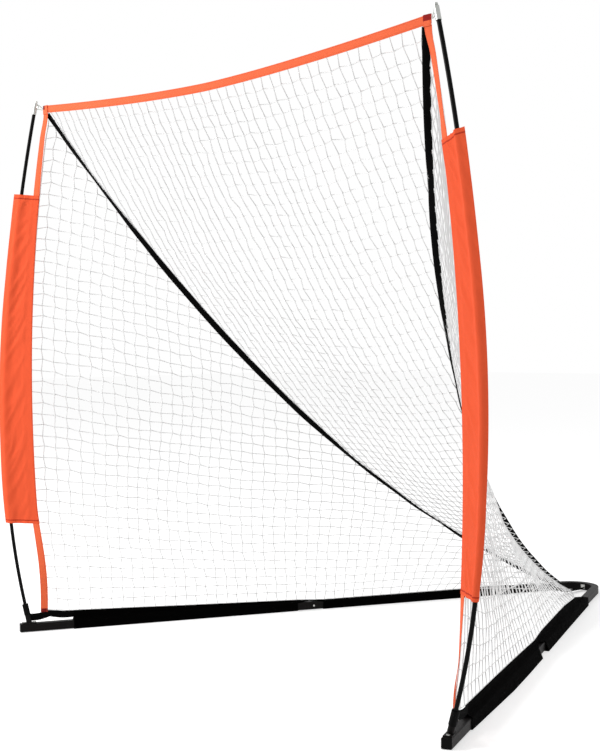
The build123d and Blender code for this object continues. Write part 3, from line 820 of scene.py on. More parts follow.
class Surface(Shader):
    """A material under construction, round its Principled shader."""

    def __init__(self, name: str) -> None:
        """Starts with an empty material.

        Args:
            name: The material's name.
        """
        self.material = bpy.data.materials.new(name)
        self.material.use_nodes = True
        super().__init__(self.material.node_tree)

    def finished(self, inputs: Inputs) -> bpy.types.Material:
        """The material, with its Principled shader's inputs filled."""
        self.fill(self.tree.nodes["Principled BSDF"], inputs)
        return self.material


def new_group(
    name: str, inputs: dict[str, float | None], outputs: Sequence[str]
) -> tuple[Shader, bpy.types.NodeOutputs, bpy.types.Node]:
    """Starts a shared effect with named inputs and outputs.

    Args:
        name: The group's name.
        inputs: Default by input name, which is None for a vector.
        outputs: Names of its float outputs.

    Returns:
        The shader, the sockets that give its inputs and the node that takes its outputs.
    """
    tree = bpy.data.node_groups.new(name, "ShaderNodeTree")
    for label, value in inputs.items():
        kind = "NodeSocketVector" if value is None else "NodeSocketFloat"
        socket = tree.interface.new_socket(label, in_out="INPUT", socket_type=kind)
        if value is not None:
            socket.default_value = value
    for label in outputs:
        tree.interface.new_socket(label, in_out="OUTPUT", socket_type="NodeSocketFloat")
    return Shader(tree), tree.nodes.new("NodeGroupInput").outputs, tree.nodes.new("NodeGroupOutput")


def weave_effect(slant: float = 0.6) -> bpy.types.NodeTree:
    """Over-and-under threads: relief from 0 in the gaps to 1 on the threads.

    Args:
        slant: How steeply the diagonal rib runs.

    Returns:
        The node group.
    """
    inputs = {"Vector": None, "Thread": 0.001, "Diagonal": 0.0}
    shader, given, result = new_group("woven_threads", inputs, ["Relief"])
    turns = shader.maths("DIVIDE", math.pi, given["Thread"])
    scaled = shader.node("VectorMath", {0: given["Vector"], "Scale": turns}, operation="SCALE").outputs[0]
    across, along, _ = shader.node("SeparateXYZ", {0: scaled}).outputs
    plain = shader.maths("MULTIPLY", shader.wave(across), shader.wave(along))
    rib = shader.wave(shader.maths("ADD", across, shader.maths("MULTIPLY", along, slant)))
    share = given["Diagonal"]
    left = shader.maths("MULTIPLY", plain, shader.maths("SUBTRACT", 1.0, share))
    total = shader.maths("ADD", left, shader.maths("MULTIPLY", rib, share))
    shader.fill(result, {"Relief": total})
    return shader.tree


def mottle_effect(finer: float = 7.0, fine_share: float = 0.3) -> bpy.types.NodeTree:
    """Soft uneven patches in two sizes, from 0 to 1.

    Args:
        finer: How much smaller the fine patches are.
        fine_share: Their share of the value.

    Returns:
        The node group.
    """
    shader, given, result = new_group("uneven_patches", {"Vector": None, "Size": 0.1}, ["Patches"])
    scale = shader.maths("DIVIDE", 1.0, given["Size"])
    wide = shader.speckle(given["Vector"], scale, 3.0)
    fine = shader.speckle(given["Vector"], shader.maths("MULTIPLY", scale, finer), 2.0)
    main_part = shader.maths("MULTIPLY", wide, 1 - fine_share)
    total = shader.maths("ADD", main_part, shader.maths("MULTIPLY", fine, fine_share))
    shader.fill(result, {"Patches": total})
    return shader.tree


def stitch_effect(dash: float = 0.68, pull_reach: float = 2.5) -> bpy.types.NodeTree:
    """A dashed line of stitches along V, and how far the cloth beside it is pulled in.

    Args:
        dash: Share of each stitch's pitch that shows thread.
        pull_reach: How far the cloth is pulled in, in thicknesses of the thread.

    Returns:
        The node group, whose Thread is 1 on the thread and 0 elsewhere.
    """
    inputs = {"Across": 0.0, "Along": 0.0, "At": 0.003, "Pitch": 0.005, "Thick": 0.0012}
    shader, given, result = new_group("stitch_line", inputs, ["Thread", "Pull"])
    gap = shader.maths("ABSOLUTE", shader.maths("SUBTRACT", given["Across"], given["At"]))
    near = shader.maths("LESS_THAN", gap, shader.maths("MULTIPLY", given["Thick"], 0.5))
    beat = shader.maths("FRACT", shader.maths("DIVIDE", given["Along"], given["Pitch"]))
    thread = shader.maths("MULTIPLY", near, shader.maths("LESS_THAN", beat, dash))
    reach = shader.maths("DIVIDE", gap, shader.maths("MULTIPLY", given["Thick"], pull_reach))
    pull = shader.maths("SUBTRACT", 1.0, reach, clamp=True)
    shader.fill(result, {"Thread": thread, "Pull": pull})
    return shader.tree


EFFECTS = {"weave": weave_effect(), "mottle": mottle_effect(), "stitch": stitch_effect()}


def shade(colour: Colour, factor: float) -> Colour:
    """A colour made lighter or darker."""
    return tuple(min(part * factor, 1) for part in colour)


@dataclass(frozen=True)
class Cloth:
    """A woven finish with its stitch lines, coloured bands and painted shade in the weave's gaps, whose
    lengths are in metres.
    """

    name: str
    colour: Colour
    thread: float
    weave: Weave
    drift: float = 0.12  # of the colour, either way from patch to patch
    patch: float = 0.09
    gap_shade: float = 0.55  # painted shade: share of the colour kept in the gaps between the threads
    relief: float = 0.0004  # height of the threads
    bump: float = 0.8
    roughness: float = 0.85
    specular: float = 0.15
    stitches: tuple[float, ...] = ()  # distances from the cloth's edge
    stitch_colour: Colour = (0.5, 0.5, 0.5)
    stitch_pull: float = 1.6  # in heights of a thread, as is the next
    stitch_rise: float = 1.4
    bands: tuple[tuple[float, float], ...] = ()  # start and end of each along the cloth
    band_width: float = 1.0
    band_colour: Colour = (0.2, 0.01, 0.01)

    def build(self) -> bpy.types.Material:
        """Builds the material.

        Returns:
            The material; its pattern follows the piece's UV map, in metres.
        """
        shader = Surface(self.name)
        uv = shader.node("UVMap", uv_map="UVMap").outputs[0]
        across, along, _ = shader.node("SeparateXYZ", {0: uv}).outputs
        woven = shader.use("weave", {"Vector": uv, "Thread": self.thread, "Diagonal": self.weave.value})[0]
        patches = shader.use("mottle", {"Vector": shader.space(), "Size": self.patch})[0]
        tone = shader.blend(patches, shade(self.colour, 1 - self.drift), shade(self.colour, 1 + self.drift))
        # painted shade: the colour is darkened in the gaps between the threads
        tone = shader.blend(shader.maths("POWER", woven, 0.5), shade(self.colour, self.gap_shade), tone)
        for low, high in self.bands:
            above, below = shader.maths("GREATER_THAN", along, low), shader.maths("LESS_THAN", along, high)
            inside = shader.maths("MULTIPLY", above, below)
            inside = shader.maths("MULTIPLY", inside, shader.maths("LESS_THAN", across, self.band_width))
            # painted shade in the gaps between the band's threads as well
            band = shader.blend(woven, shade(self.band_colour, self.gap_shade), self.band_colour)
            tone = shader.blend(inside, tone, band)
        height = woven
        for at in self.stitches:
            line = shader.use("stitch", {"Across": across, "Along": along, "At": at})
            tone = shader.blend(line["Thread"], tone, self.stitch_colour)
            height = shader.maths("ADD", height, shader.maths("MULTIPLY", line["Pull"], -self.stitch_pull))
            height = shader.maths("ADD", height, shader.maths("MULTIPLY", line["Thread"], self.stitch_rise))
        normal = shader.relief(height, self.relief, self.bump)
        settings = {"Roughness": self.roughness, "Specular IOR Level": self.specular}
        return shader.finished({"Base Color": tone, "Normal": normal, **settings})


@dataclass(frozen=True)
class Twine:
    """Braided white netting twine."""

    name: str = "white_twine"
    colour: Colour = (0.80, 0.80, 0.80)
    dirt: Colour = (0.74, 0.735, 0.725)
    dirt_patch: float = 0.25
    dirt_from: float = 0.45
    dirt_gain: float = 2.0
    braid: float = 900.0  # strands in a metre
    braid_depth: float = 0.0003
    bump: float = 0.7
    roughness: float = 0.75
    sheen: float = 0.2

    def build(self) -> bpy.types.Material:
        """Builds the material.

        Returns:
            The material; its braid and soiling follow Object coordinates.
        """
        shader = Surface(self.name)
        space = shader.space()
        patches = shader.use("mottle", {"Vector": space, "Size": self.dirt_patch})[0]
        soiled = shader.maths("SUBTRACT", patches, self.dirt_from)
        soiled = shader.maths("MULTIPLY", soiled, self.dirt_gain, clamp=True)
        tone = shader.blend(soiled, self.colour, self.dirt)
        normal = shader.relief(shader.speckle(space, self.braid, 2.0), self.braid_depth, self.bump)
        settings = {"Roughness": self.roughness, "Sheen Weight": self.sheen}
        return shader.finished({"Base Color": tone, "Normal": normal, **settings})


@dataclass(frozen=True)
class Hard:
    """Metal, plastic or rubber with grain, scuffs and uneven gloss."""

    name: str
    colour: Colour
    roughness: float
    metallic: float = 0.0
    specular: float = 0.5
    grain: float = 0.004  # in metres, as are its depth and the patches
    grain_depth: float = 0.0002
    bump: float = 0.6
    scuff: Colour = (0.10, 0.095, 0.09)
    scuffed: float = 0.12  # how much is scuffed, and how strongly
    scuff_from: float = 0.72  # where scuffs start to show in the noise
    scuff_edge: float = 6.0  # how sharp the scuffs' edges are
    scuff_scale: float = 45.0  # scuffs in a metre
    stretch: tuple[float, float, float] = (1.0, 1.0, 1.0)
    patch: float = 0.06
    dim: float = 0.8  # of the colour, in the darkest patches
    gloss_drift: float = 0.08  # of the roughness, either way

    def build(self) -> bpy.types.Material:
        """Builds the material.

        Returns:
            The material; its patterns follow Object coordinates.
        """
        shader = Surface(self.name)
        space = shader.space()
        pulled = shader.node("Mapping", {"Vector": space, "Scale": self.stretch}).outputs[0]
        patches = shader.use("mottle", {"Vector": space, "Size": self.patch})[0]
        marks = shader.speckle(pulled, self.scuff_scale, 6.0, 0.7)
        worn = shader.maths("SUBTRACT", marks, self.scuff_from - self.scuffed)
        worn = shader.maths("MULTIPLY", worn, self.scuff_edge, clamp=True)
        worn = shader.maths("MULTIPLY", worn, self.scuffed * 2)
        tone = shader.blend(patches, shade(self.colour, self.dim), self.colour)
        drift = shader.maths("MULTIPLY", patches, 2 * self.gloss_drift)
        grain = shader.speckle(pulled, 1 / self.grain, 3.0)
        return shader.finished({
            "Base Color": shader.blend(worn, tone, self.scuff),
            "Roughness": shader.maths("ADD", self.roughness - self.gloss_drift, drift),
            "Normal": shader.relief(grain, self.grain_depth, self.bump),
            "Metallic": self.metallic,
            "Specular IOR Level": self.specular,
        })


# ------------------------------------------------------------------ net panels
@dataclass
class Net:
    """Square mesh of twine, sewn over the straps' edges.

    Attributes:
        finish: The twine's material.
        cell: Width of a mesh.
        twine: Thickness of the twine.
        overlap: How far the net lies off the middle of the straps.
        zigzag: How far each mesh corner is pulled off the straight, in meshes.
        taut: Share of the flat width at which the panel's slanted edges are cut.
    """

    finish: bpy.types.Material
    cell: float = 0.0385
    twine: float = 0.0040
    overlap: float = 0.0027
    zigzag: tuple[float, float] = (0.06, 0.05)
    taut: float = 0.995

    def cut(
        self, name: str, width: float, length: float, cuts: Sequence[tuple[Vector, Vector]]
    ) -> bpy.types.Object:
        """A flat square-mesh panel in shares of its width and length, cut along slanted edges.

        Args:
            name: The piece's name.
            width: Width of the uncut panel.
            length: Length of the uncut panel.
            cuts: Point and normal of each cut, in shares; the normal's side is thrown away.

        Returns:
            The flat grid.
        """
        columns, rows = round(width / self.cell), round(length / self.cell)
        grid = blank_grid(name, columns, rows)
        for vertex in grid.data.vertices:
            column, row = round(vertex.co.x * columns), round(vertex.co.y * rows)
            way = (-1) ** (column + row)
            vertex.co.x += self.zigzag[0] / columns * way * (0 < column < columns)
            vertex.co.y += self.zigzag[1] / rows * way * (0 < row < rows)
        select_only(grid)
        bpy.ops.object.mode_set(mode="EDIT")
        for point, normal in cuts:
            bpy.ops.mesh.select_all(action="SELECT")
            bpy.ops.mesh.bisect(plane_co=point, plane_no=normal, clear_outer=True, threshold=0.0005)
        bpy.ops.mesh.select_all(action="SELECT")
        bpy.ops.mesh.remove_doubles(threshold=0.002)
        bpy.ops.mesh.dissolve_degenerate(threshold=0.001)
        bpy.ops.object.mode_set(mode="OBJECT")
        return grid

    def twist(self, panel: bpy.types.Object, node: str) -> bpy.types.Object:
        """Turns the panel's edges into twine and hands it in.

        Args:
            panel: The panel.
            node: The CAD node that it stands for.

        Returns:
            The panel.
        """
        settings = {"use_even_offset": False, "use_boundary": True, "use_replace": True}
        apply_modifier(panel, "WIREFRAME", thickness=self.twine, **settings)
        outwards(panel)
        return hand_in(panel, self.finish, "white_net", (node,), 80)


@dataclass
class SideNet(Net):
    """The triangle between front strap, ridge strap and hem.

    Attributes:
        side: The goal's side.
        below_corner: How much lower than the corner the flat panel is.
        on_strap: How far across the front strap its edge is sewn.
        grip: How quickly the front strap's pull on the net dies away.
        lift_width: Share of the panel over which its rows are lifted beside the front strap.
        lift_ends: How quickly that lift sets in above the hem and below the ridge.
    """

    side: Side = Side.LEFT
    below_corner: float = 0.09
    on_strap: float = 0.006
    grip: int = 4
    lift_width: float = 0.10
    lift_ends: tuple[float, float] = (5.0, 3.0)

    def front_edge(self, rise: float) -> Vector:
        """Where the net is sewn to the front strap.

        Args:
            rise: Share of the net's height.

        Returns:
            The point, on the strap's back.
        """
        height = mix(ground_point(self.side, 0).z, LINES.ridge_start[2], rise)
        middle, across, normal = strap_frame(self.side, height)
        return middle + across * self.on_strap - normal * self.overlap

    def place(self, share: float, up: float) -> Vector:
        """The panel's point in the frame.

        Args:
            share: Share of its flat width.
            up: Share of its flat height.

        Returns:
            The point.
        """
        rise = min(up / max(self.taut - share, 1e-4), 1.0)
        lift = DRAPES[self.side].net_lift * math.exp(-((share / self.lift_width) ** 2))
        rise += lift * ease_ends(rise, *self.lift_ends)
        straight = mix(ground_point(self.side, 0), self.front_edge(1), rise)
        pull = (self.front_edge(rise) - straight) * (1 - share) ** self.grip
        point = mix(ground_point(self.side, share), RIDGES[self.side].edge(share, 1), rise) + pull
        for ripple in DRAPES[self.side].net_ripples:
            point = ripple.moved(point, rise, share)
        return point

    def build(self) -> bpy.types.Object:
        """Cuts the panel, hangs it and hands it in.

        Returns:
            The panel.
        """
        width = (LINES.net_end - LINES.net_foot) / LINES.ground_share
        height = LINES.strap_corner[2] - self.below_corner
        cuts = [(Vector((self.taut, 0, 0)), Vector((1, 1, 0)).normalized())]
        panel = self.cut(f"{self.side.label}_side_netting", width, height, cuts)
        lay_out(panel, self.place, (width, height))
        return self.twist(panel, f"{self.side.label}_side_net")


@dataclass
class BackNet(Net):
    """The long triangle between the top strap and the two ridge straps.

    Attributes:
        in_corners: How far inside the ridges' upper ends the flat panel ends.
        steps: Stretches in which the length down its middle is measured.
        top_share: Share of its length over which it leaves the top strap.
        below_strap: How far below the middle of the top strap its edge is sewn.
        sag_fade: How quickly its sag dies away towards the rear.
        ripples: Its unevenness.
    """

    in_corners: float = 0.004
    steps: int = 60
    top_share: float = 0.03
    below_strap: float = 0.006
    sag_fade: float = 1.2
    ripples: tuple[Ripple, ...] = (
        Ripple(0.45, 0.028, 11.0, between=1, start=8, end=1.3),
        Ripple(0.055, 0.0055, 5.0, between=2, start=15, end=1.3),
    )

    def sag(self, part: float, share: float) -> Vector:
        """How far the net hangs below the line between the ridges."""
        return Vector((0, 0, arch(part) * LINES.top_sag * (1 - share) ** self.sag_fade))

    def point(self, part: float, share: float) -> Vector:
        """A point of the net before its ripples.

        Args:
            part: Share of the way from the left ridge to the right one.
            share: Share of the ridges from their corners.

        Returns:
            The point.
        """
        point = mix(*(RIDGES[side].edge(share, -1) for side in Side), part)
        if share >= self.top_share:
            return point - self.sag(part, share)
        top = LINES.top_line(point.x) + Vector((0, self.overlap, -self.below_strap))
        return mix(top, point - self.sag(part, self.top_share), smooth(share / self.top_share))

    def reaches(self) -> list[float]:
        """Measures down the middle of the net.

        Returns:
            The length from the top to each step.
        """
        reach = [0.0]
        line = [self.point(0.5, step / self.steps) for step in range(self.steps + 1)]
        for first, last in zip(line, line[1:]):
            reach.append(reach[-1] + (last - first).length)
        return reach

    def build(self) -> bpy.types.Object:
        """Cuts the panel, hangs it and hands it in.

        Returns:
            The panel.
        """
        reach = self.reaches()
        width, length = 2 * (LINES.ridge_start[0] - self.in_corners), reach[-1]
        spare = (1 - self.taut) / 2
        slope = Vector((1, 0.5, 0)).normalized()
        mirrored = Vector((-slope.x, slope.y, 0))
        cuts = [(Vector((1 - spare, 0, 0)), slope), (Vector((spare, 0, 0)), mirrored)]
        panel = self.cut("back_netting", width, length, cuts)

        def place(across: float, down: float) -> Vector:
            """The panel's point.

            Args:
                across: Share of its flat width.
                down: Share of its flat length.

            Returns:
                The point in the frame.
            """
            run = down * length
            index = next((step for step, far in enumerate(reach) if far >= run), self.steps)
            low = max(index - 1, 0)
            share = mix(low, index, (run - reach[low]) / max(reach[index] - reach[low], 1e-9)) / self.steps
            part = 0.5 + (across - 0.5) / max(1 - down, 1e-3) / self.taut
            part = min(max(part, 0), 1)
            point = self.point(part, share)
            for ripple in self.ripples:
                point = ripple.moved(point, part, down)
            return point

        lay_out(panel, place, (width, length))
        return self.twist(panel, "back_net")


@dataclass
class Lacing:
    """The net's edge strand, sewn to and fro across one ridge strap.

    Attributes:
        ridge: The ridge.
        finish: The twine's material.
        thick: Thickness of the strand.
        pitch: Distance between two strokes on one edge.
        laid: Shares of the ridge at which it starts and ends.
        inset: How far inside the strap's edges it turns back.
        gap: How far it stands off the strap.
        changes: Share of the ridge, beyond where the side net goes under, at which it changes faces.
    """

    ridge: Ridge
    finish: bpy.types.Material
    thick: float = 0.0030
    pitch: float = 0.028
    laid: tuple[float, float] = (0.008, 0.955)
    inset: float = 0.0008
    gap: float = 0.0003
    changes: float = 0.03

    def points(self) -> list[Vector]:
        """The strand's turns.

        Returns:
            The points, from edge to edge.
        """
        drape = DRAPES[self.ridge.side]
        strokes = round(drape.laced / self.pitch) * 2
        reach = self.ridge.width / 2 - self.inset
        off = (LINES.web_thick + self.thick) / 2 + self.gap
        points = []
        for index in range(strokes + 1):
            share = mix(*self.laid, index / strokes)
            middle, across, _ = self.ridge.twisted(share)
            face = self.ridge.outer(share) * (off if share < drape.free_from + self.changes else -off)
            points.append(middle + across * reach * (-1) ** index + face)
        return points

    def build(self) -> bpy.types.Object:
        """Sews the strand.

        Returns:
            The strand.
        """
        points = self.points()
        bpy.ops.object.select_all(action="DESELECT")
        bpy.ops.curve.primitive_nurbs_path_add()
        path = bpy.context.object
        path.name = path.data.name = f"{self.ridge.side.label}_ridge_lacing"
        path.data.splines.clear()
        spline = path.data.splines.new("POLY")
        spline.points.add(len(points) - 1)
        for target, point in zip(spline.points, points):
            target.co = (*point, 1)
        path.data.bevel_depth = self.thick / 2
        path.data.bevel_resolution = 1
        path.data.use_fill_caps = True
        bpy.ops.object.convert(target="MESH")
        lace = bpy.context.object
        outwards(lace)
        return hand_in(lace, self.finish, "white_net", degrees=80)


# ------------------------------------------------------------------ webbing
@dataclass
class Ribbon:
    """A strap of webbing laid along stations.

    Attributes:
        width: Its width.
        finish: Its material.
        slot: The record's material slot.
        thick: Its thickness.
        curl: How far its edges curl back.
        wave: How far it waves off its line.
        wave_size: Waves in a metre.
        tilt_size: Waves across its width.
        ends: How quickly the waves set in at either end.
    """

    width: float
    finish: bpy.types.Material
    slot: str
    thick: float = LINES.web_thick
    curl: float = 0.0
    wave: float = 0.0
    wave_size: float = 6.0
    tilt_size: float = 0.6
    ends: float = 12.0

    def lay(
        self, name: str, node: str, station: Callable[[float], Station], length: float, steps: int
    ) -> None:
        """Lays the strap.

        Args:
            name: The piece's name.
            node: The CAD node that it stands for.
            station: Middle, across and normal for a share of the length.
            length: Length of the strap.
            steps: Divisions along it.
        """
        strap = blank_grid(name, 6, steps)

        def place(across: float, along: float) -> Vector:
            """The strap's point.

            Args:
                across: Share of its width.
                along: Share of its length.

            Returns:
                The point in the frame.
            """
            middle, side, normal = station(along)
            bend = self.curl * (2 * across - 1) ** 2
            at = Vector((along * length * self.wave_size, across * self.tilt_size, len(name)))
            drift = noise.noise(at) * self.wave
            rise = drift * ease_ends(along, self.ends, self.ends) - bend
            return middle + side * ((across - 0.5) * self.width) + normal * rise

        lay_out(strap, place, (self.width, length))
        apply_modifier(strap, "SOLIDIFY", thickness=self.thick, offset=0, use_even_offset=True)
        apply_modifier(strap, "BEVEL", width=self.thick * 0.35, segments=2, limit_method="ANGLE")
        outwards(strap)
        piece = hand_in(strap, self.finish, self.slot, (node,))


@dataclass
class Straps:
    """All the webbing: mouth straps, ridges, hem straps, the rear strap and the corner patches.

    Attributes:
        orange: The mouth straps' material.
        black: The material of the other straps.
        corners: The corner patches' materials.
        top_extra: What the flat top strap has beyond its line.
        top_gap: Gap between the front straps' ends and the top strap.
        front_length, ridge_length, hem_length, apex_length: Lengths of the flat straps.
        hem_out: How far outside the rail's axis the hem straps run.
        hem_rear: A hem strap's rear end: distance behind the hem's start, and height.
        hem_knee: Height where the front strap is sewn on.
        hem_front: Its front end: height, and distance from the pole's axis.
        hem_bow: How far each of its halves sags.
        apex_width: Width of the rear strap.
        apex_tilt: Degrees that the rear strap is tilted.
        apex_drop: How far below the ridges' ends it starts.
        apex_low: Height of its rear end.
        apex_bend: Share of its length that comes down from the ridges.
    """

    orange: bpy.types.Material
    black: bpy.types.Material
    corners: dict[Side, bpy.types.Material]
    top_extra: float = 0.005
    top_gap: float = 0.002
    front_length: float = 1.745
    ridge_length: float = 2.55
    hem_length: float = 0.155
    hem_out: float = 0.0024
    hem_rear: tuple[float, float] = (0.006, 0.0520)
    hem_knee: float = 0.0595
    hem_front: tuple[float, float] = (0.049, 0.006)
    hem_bow: float = 0.004
    apex_width: float = 0.020
    apex_length: float = 0.222
    apex_tilt: float = 35.0
    apex_drop: float = 0.018
    apex_low: float = 0.009
    apex_bend: float = 0.42

    def build(self) -> None:
        """Lays every strap."""
        self.top()
        for side in Side:
            self.front(side)
            self.ridge(side)
            self.hem_strap(side)
            self.patch(side)
        self.apex()

    def top(self) -> None:
        """The strap across the mouth's top."""
        half = LINES.strap_corner[0] + LINES.web / 2

        def station(along: float) -> Station:
            """Its line between the corners."""
            return LINES.top_line(mix(-half, half, along)), Vector((0, 0, 1)), Vector((0, -1, 0))

        ribbon = Ribbon(LINES.web, self.orange, "orange_web", curl=0.0006, wave=0.0004)
        ribbon.lay("top_webbing", "top_strap", station, 2 * half + self.top_extra, 80)

    def front(self, side: Side) -> None:
        """The strap up one side of the mouth.

        Args:
            side: The goal's side.
        """
        top = LINES.strap_corner[2] - LINES.web / 2 - self.top_gap

        def station(along: float) -> Station:
            """Its line from the foot up."""
            return strap_frame(side, mix(LINES.strap_foot[2], top, along))

        ribbon = Ribbon(LINES.web, self.orange, "orange_web")
        node = f"{side.label}_front_strap"
        ribbon.lay(f"{side.label}_front_webbing", node, station, self.front_length, 90)

    def ridge(self, side: Side) -> None:
        """The strap along one ridge of the net.

        Args:
            side: The goal's side.
        """
        ridge = RIDGES[side]

        def station(along: float) -> Station:
            """Its line from the corner down to the rear."""
            return ridge.twisted(mix(*ridge.laid, along))

        ribbon = Ribbon(ridge.width, self.black, "black_web", curl=0.001, wave=0.004)
        node = f"{side.label}_ridge_strap"
        ribbon.lay(f"{side.label}_ridge_webbing", node, station, self.ridge_length, 150)

    def hem_strap(self, side: Side) -> None:
        """The strap from the front hem to the pole's socket.

        Args:
            side: The goal's side.
        """
        behind, height = self.hem_rear
        rear = LINES.rail_point(side, LINES.hem_start + behind, self.hem_out, height)
        knee = LINES.rail_point(side, LINES.hem_knee, self.hem_out, self.hem_knee)
        collar = pole_at(side, self.hem_front[0])
        back = Vector((*(knee - collar).xy, 0)).normalized()
        points = [rear, knee, collar + back * self.hem_front[1]]

        def station(along: float) -> Station:
            """Its line over the knee where the front strap is sewn on.

            Args:
                along: Share of its length.

            Returns:
                Middle, across and normal.
            """
            share = along * 2
            first = min(int(share), 1)
            point = mix(points[first], points[first + 1], share - first)
            point.z -= self.hem_bow * math.sin(math.pi * (share - first))
            return point, Vector((0, 0, 1)), LINES.rail_out(side)

        ribbon = Ribbon(LINES.web, self.black, "black_web")
        node = f"{side.label}_hem_strap"
        ribbon.lay(f"{side.label}_hem_webbing", node, station, self.hem_length, 24)

    def apex(self) -> None:
        """The strap from the net's rear point to the bend."""
        tilt = math.radians(self.apex_tilt)
        across = Vector((math.cos(tilt), 0, math.sin(tilt)))
        normal = Vector((-math.sin(tilt), 0, math.cos(tilt)))
        low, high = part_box("apex_strap")
        top = LINES.ridge_point(Side.RIGHT, RIDGES[Side.RIGHT].laid[1]).z - self.apex_drop
        point = LINES.at(0, LINES.ridge_end[1], LINES.net_rear[1])
        points = [Vector((0, low.y, top)), point, Vector((0, high.y, self.apex_low))]
        bend = self.apex_bend

        def station(along: float) -> Station:
            """Its line down from the ridges and back along the floor.

            Args:
                along: Share of its length.

            Returns:
                Middle, across and normal.
            """
            if along < bend:
                return mix(points[0], points[1], along / bend), across, normal
            return mix(points[1], points[2], (along - bend) / (1 - bend)), across, normal

        ribbon = Ribbon(self.apex_width, self.black, "black_web")
        ribbon.lay("apex_webbing", "apex_strap", station, self.apex_length, 24)

    def patch(self, side: Side) -> None:
        """The stitched patch over one top corner.

        Args:
            side: The goal's side.
        """
        low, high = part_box(f"{side.label}_corner_patch")
        middle, size = (low + high) / 2, high - low

        def station(along: float) -> Station:
            """Upwards over the corner."""
            point = Vector((middle.x, middle.y, mix(low.z, high.z, along)))
            return point, Vector((1, 0, 0)), Vector((0, -1, 0))

        ribbon = Ribbon(size.x, self.corners[side], "dark_red_web", thick=size.y)
        ribbon.lay(f"{side.label}_corner_cloth", f"{side.label}_corner_patch", station, size.z, 12)


# ------------------------------------------------------------------ sleeves and hems
@dataclass
class Sleeve:
    """The flat cloth tube round a pole, sewn to the front strap.

    Attributes:
        side: The goal's side.
        finish: The cloth's material.
        flaps: How far its free edge lies beyond the pole, at bottom and top.
        bump_reach: How far the pole's bump reaches towards that edge, and towards the net.
        tips: How far the top edge's outer and inner corner rise.
        bends: How steeply the free edge is bent back, at bottom and top.
        divisions: Divisions of the cloth round the tube and up it.
        flat_width: Width of the flat cloth.
        past_strap: How far the cloth reaches past the front strap.
        tips_from: Share of the height where the corners start to rise, and how quickly.
        bump: Height of the bump that the pole makes.
        cloth: Thickness of the cloth.
        layer: Half the gap between the layers at the rim, and what it gains inside.
        rim: How quickly that gain sets in.
        over_strap: Half the gap over the strap.
        strap_from: Share of the width where the strap starts, and how quickly the gap widens.
        closes: How quickly the layers close at the free edge and at the strap.
        hem_roll: Height of the roll at bottom and top, its distance from the end and its reach.
        crease: Height of the creases.
        wrinkle: Height of the fine wrinkles.
        loose: How quickly the creases set in at the free edge and die away at a share of the width.
        taut: How much of them the pole takes out, and how far from its axis.
        bend_from: Distance beyond the pole where the free edge is bent back.
    """

    side: Side
    finish: bpy.types.Material
    flaps: tuple[float, float]
    bump_reach: tuple[float, float]
    tips: tuple[float, float]
    bends: tuple[float, float]
    divisions: tuple[int, int] = (88, 120)
    flat_width: float = 0.27
    past_strap: float = 0.0012
    tips_from: tuple[float, float] = (0.9, 10.0)
    bump: float = 0.0077
    cloth: float = 0.0010
    layer: tuple[float, float] = (0.0005, 0.0007)
    rim: float = 14.0
    over_strap: float = 0.0019
    strap_from: tuple[float, float] = (0.62, 9.0)
    closes: tuple[float, float] = (30.0, 45.0)
    hem_roll: tuple[float, float, float] = (0.0007, 0.008, 0.007)
    crease: float = 0.0034
    wrinkle: float = 0.0009
    loose: tuple[float, float, float] = (8.0, 0.86, 5.0)
    taut: tuple[float, float] = (0.75, 0.013)
    bend_from: float = 0.009

    def place(self, around: float, up: float) -> Vector:
        """The cloth's point in the frame.

        Args:
            around: Share of the way round the tube.
            up: Share of its height.

        Returns:
            The point.
        """
        height = mix(*LINES.sleeve, up)
        middle, across, normal = strap_frame(self.side, height)
        pole = pole_at(self.side, height)
        edge = (middle - pole).length + LINES.web / 2 + self.past_strap
        front = around <= 0.5
        share = around * 2 if front else 2 - around * 2
        off = mix(-mix(*self.flaps, up), edge, share)
        point = pole + across * off + normal * self.level(off, share, height, front)
        point.z += mix(*self.tips, share) * smooth((up - self.tips_from[0]) * self.tips_from[1])
        return point

    def folds(self, off: float, share: float, height: float) -> float:
        """How far creases and wrinkles move the cloth.

        Args:
            off: Distance from the pole towards the net.
            share: The same as a share of the sleeve's width.
            height: Height above the floor.

        Returns:
            The distance along the outer normal.
        """
        slant = Vector((off * 9, (height - off * 1.5) * 17, self.side.value * 3.0))
        fold = max(1 - 4 * abs(noise.noise(slant)), 0) * self.crease
        fold += noise.noise(Vector((off * 30, height * 45, 9.0 + self.side.value))) * self.wrinkle
        first, until, last = self.loose
        loose = smooth(share * first) * smooth((until - share) * last)
        return fold * loose * (1 - self.taut[0] * math.exp(-((off / self.taut[1]) ** 2)))

    def level(self, off: float, share: float, height: float, front: bool) -> float:
        """How far the cloth stands off the plane through the pole.

        Args:
            off: Distance from the pole towards the net.
            share: The same as a share of the sleeve's width.
            height: Height above the floor.
            front: Whether it is the front layer.

        Returns:
            The distance along the outer normal.
        """
        low, high = LINES.sleeve
        rim = ease_ends(share, self.rim, self.rim)
        reach = self.bump_reach[0] if off < 0 else self.bump_reach[1]
        half = self.layer[0] + self.layer[1] * rim + self.bump * math.exp(-((off / reach) ** 2))
        over_strap = self.over_strap * smooth((share - self.strap_from[0]) * self.strap_from[1])
        half = max(half, over_strap) * ease_ends(share, *self.closes)
        roll, away, spread = self.hem_roll
        half += roll * smooth(1 - abs(min(height - low, high - height) - away) / spread) * rim
        back = max(-off - self.bend_from, 0) * mix(*self.bends, (height - low) / (high - low))
        return (half if front else -half) + self.folds(off, share, height) - back

    def build(self) -> None:
        """Builds the sleeve as one grid wrapped round the pole."""
        tube = blank_grid(f"{self.side.label}_sleeve_cloth", *self.divisions)
        flat = (self.flat_width, LINES.sleeve[1] - LINES.sleeve[0])
        wrap_round(tube, self.place, flat, self.cloth)
        piece = hand_in(tube, self.finish, "orange_cloth", (f"{self.side.label}_pole_sleeve",))


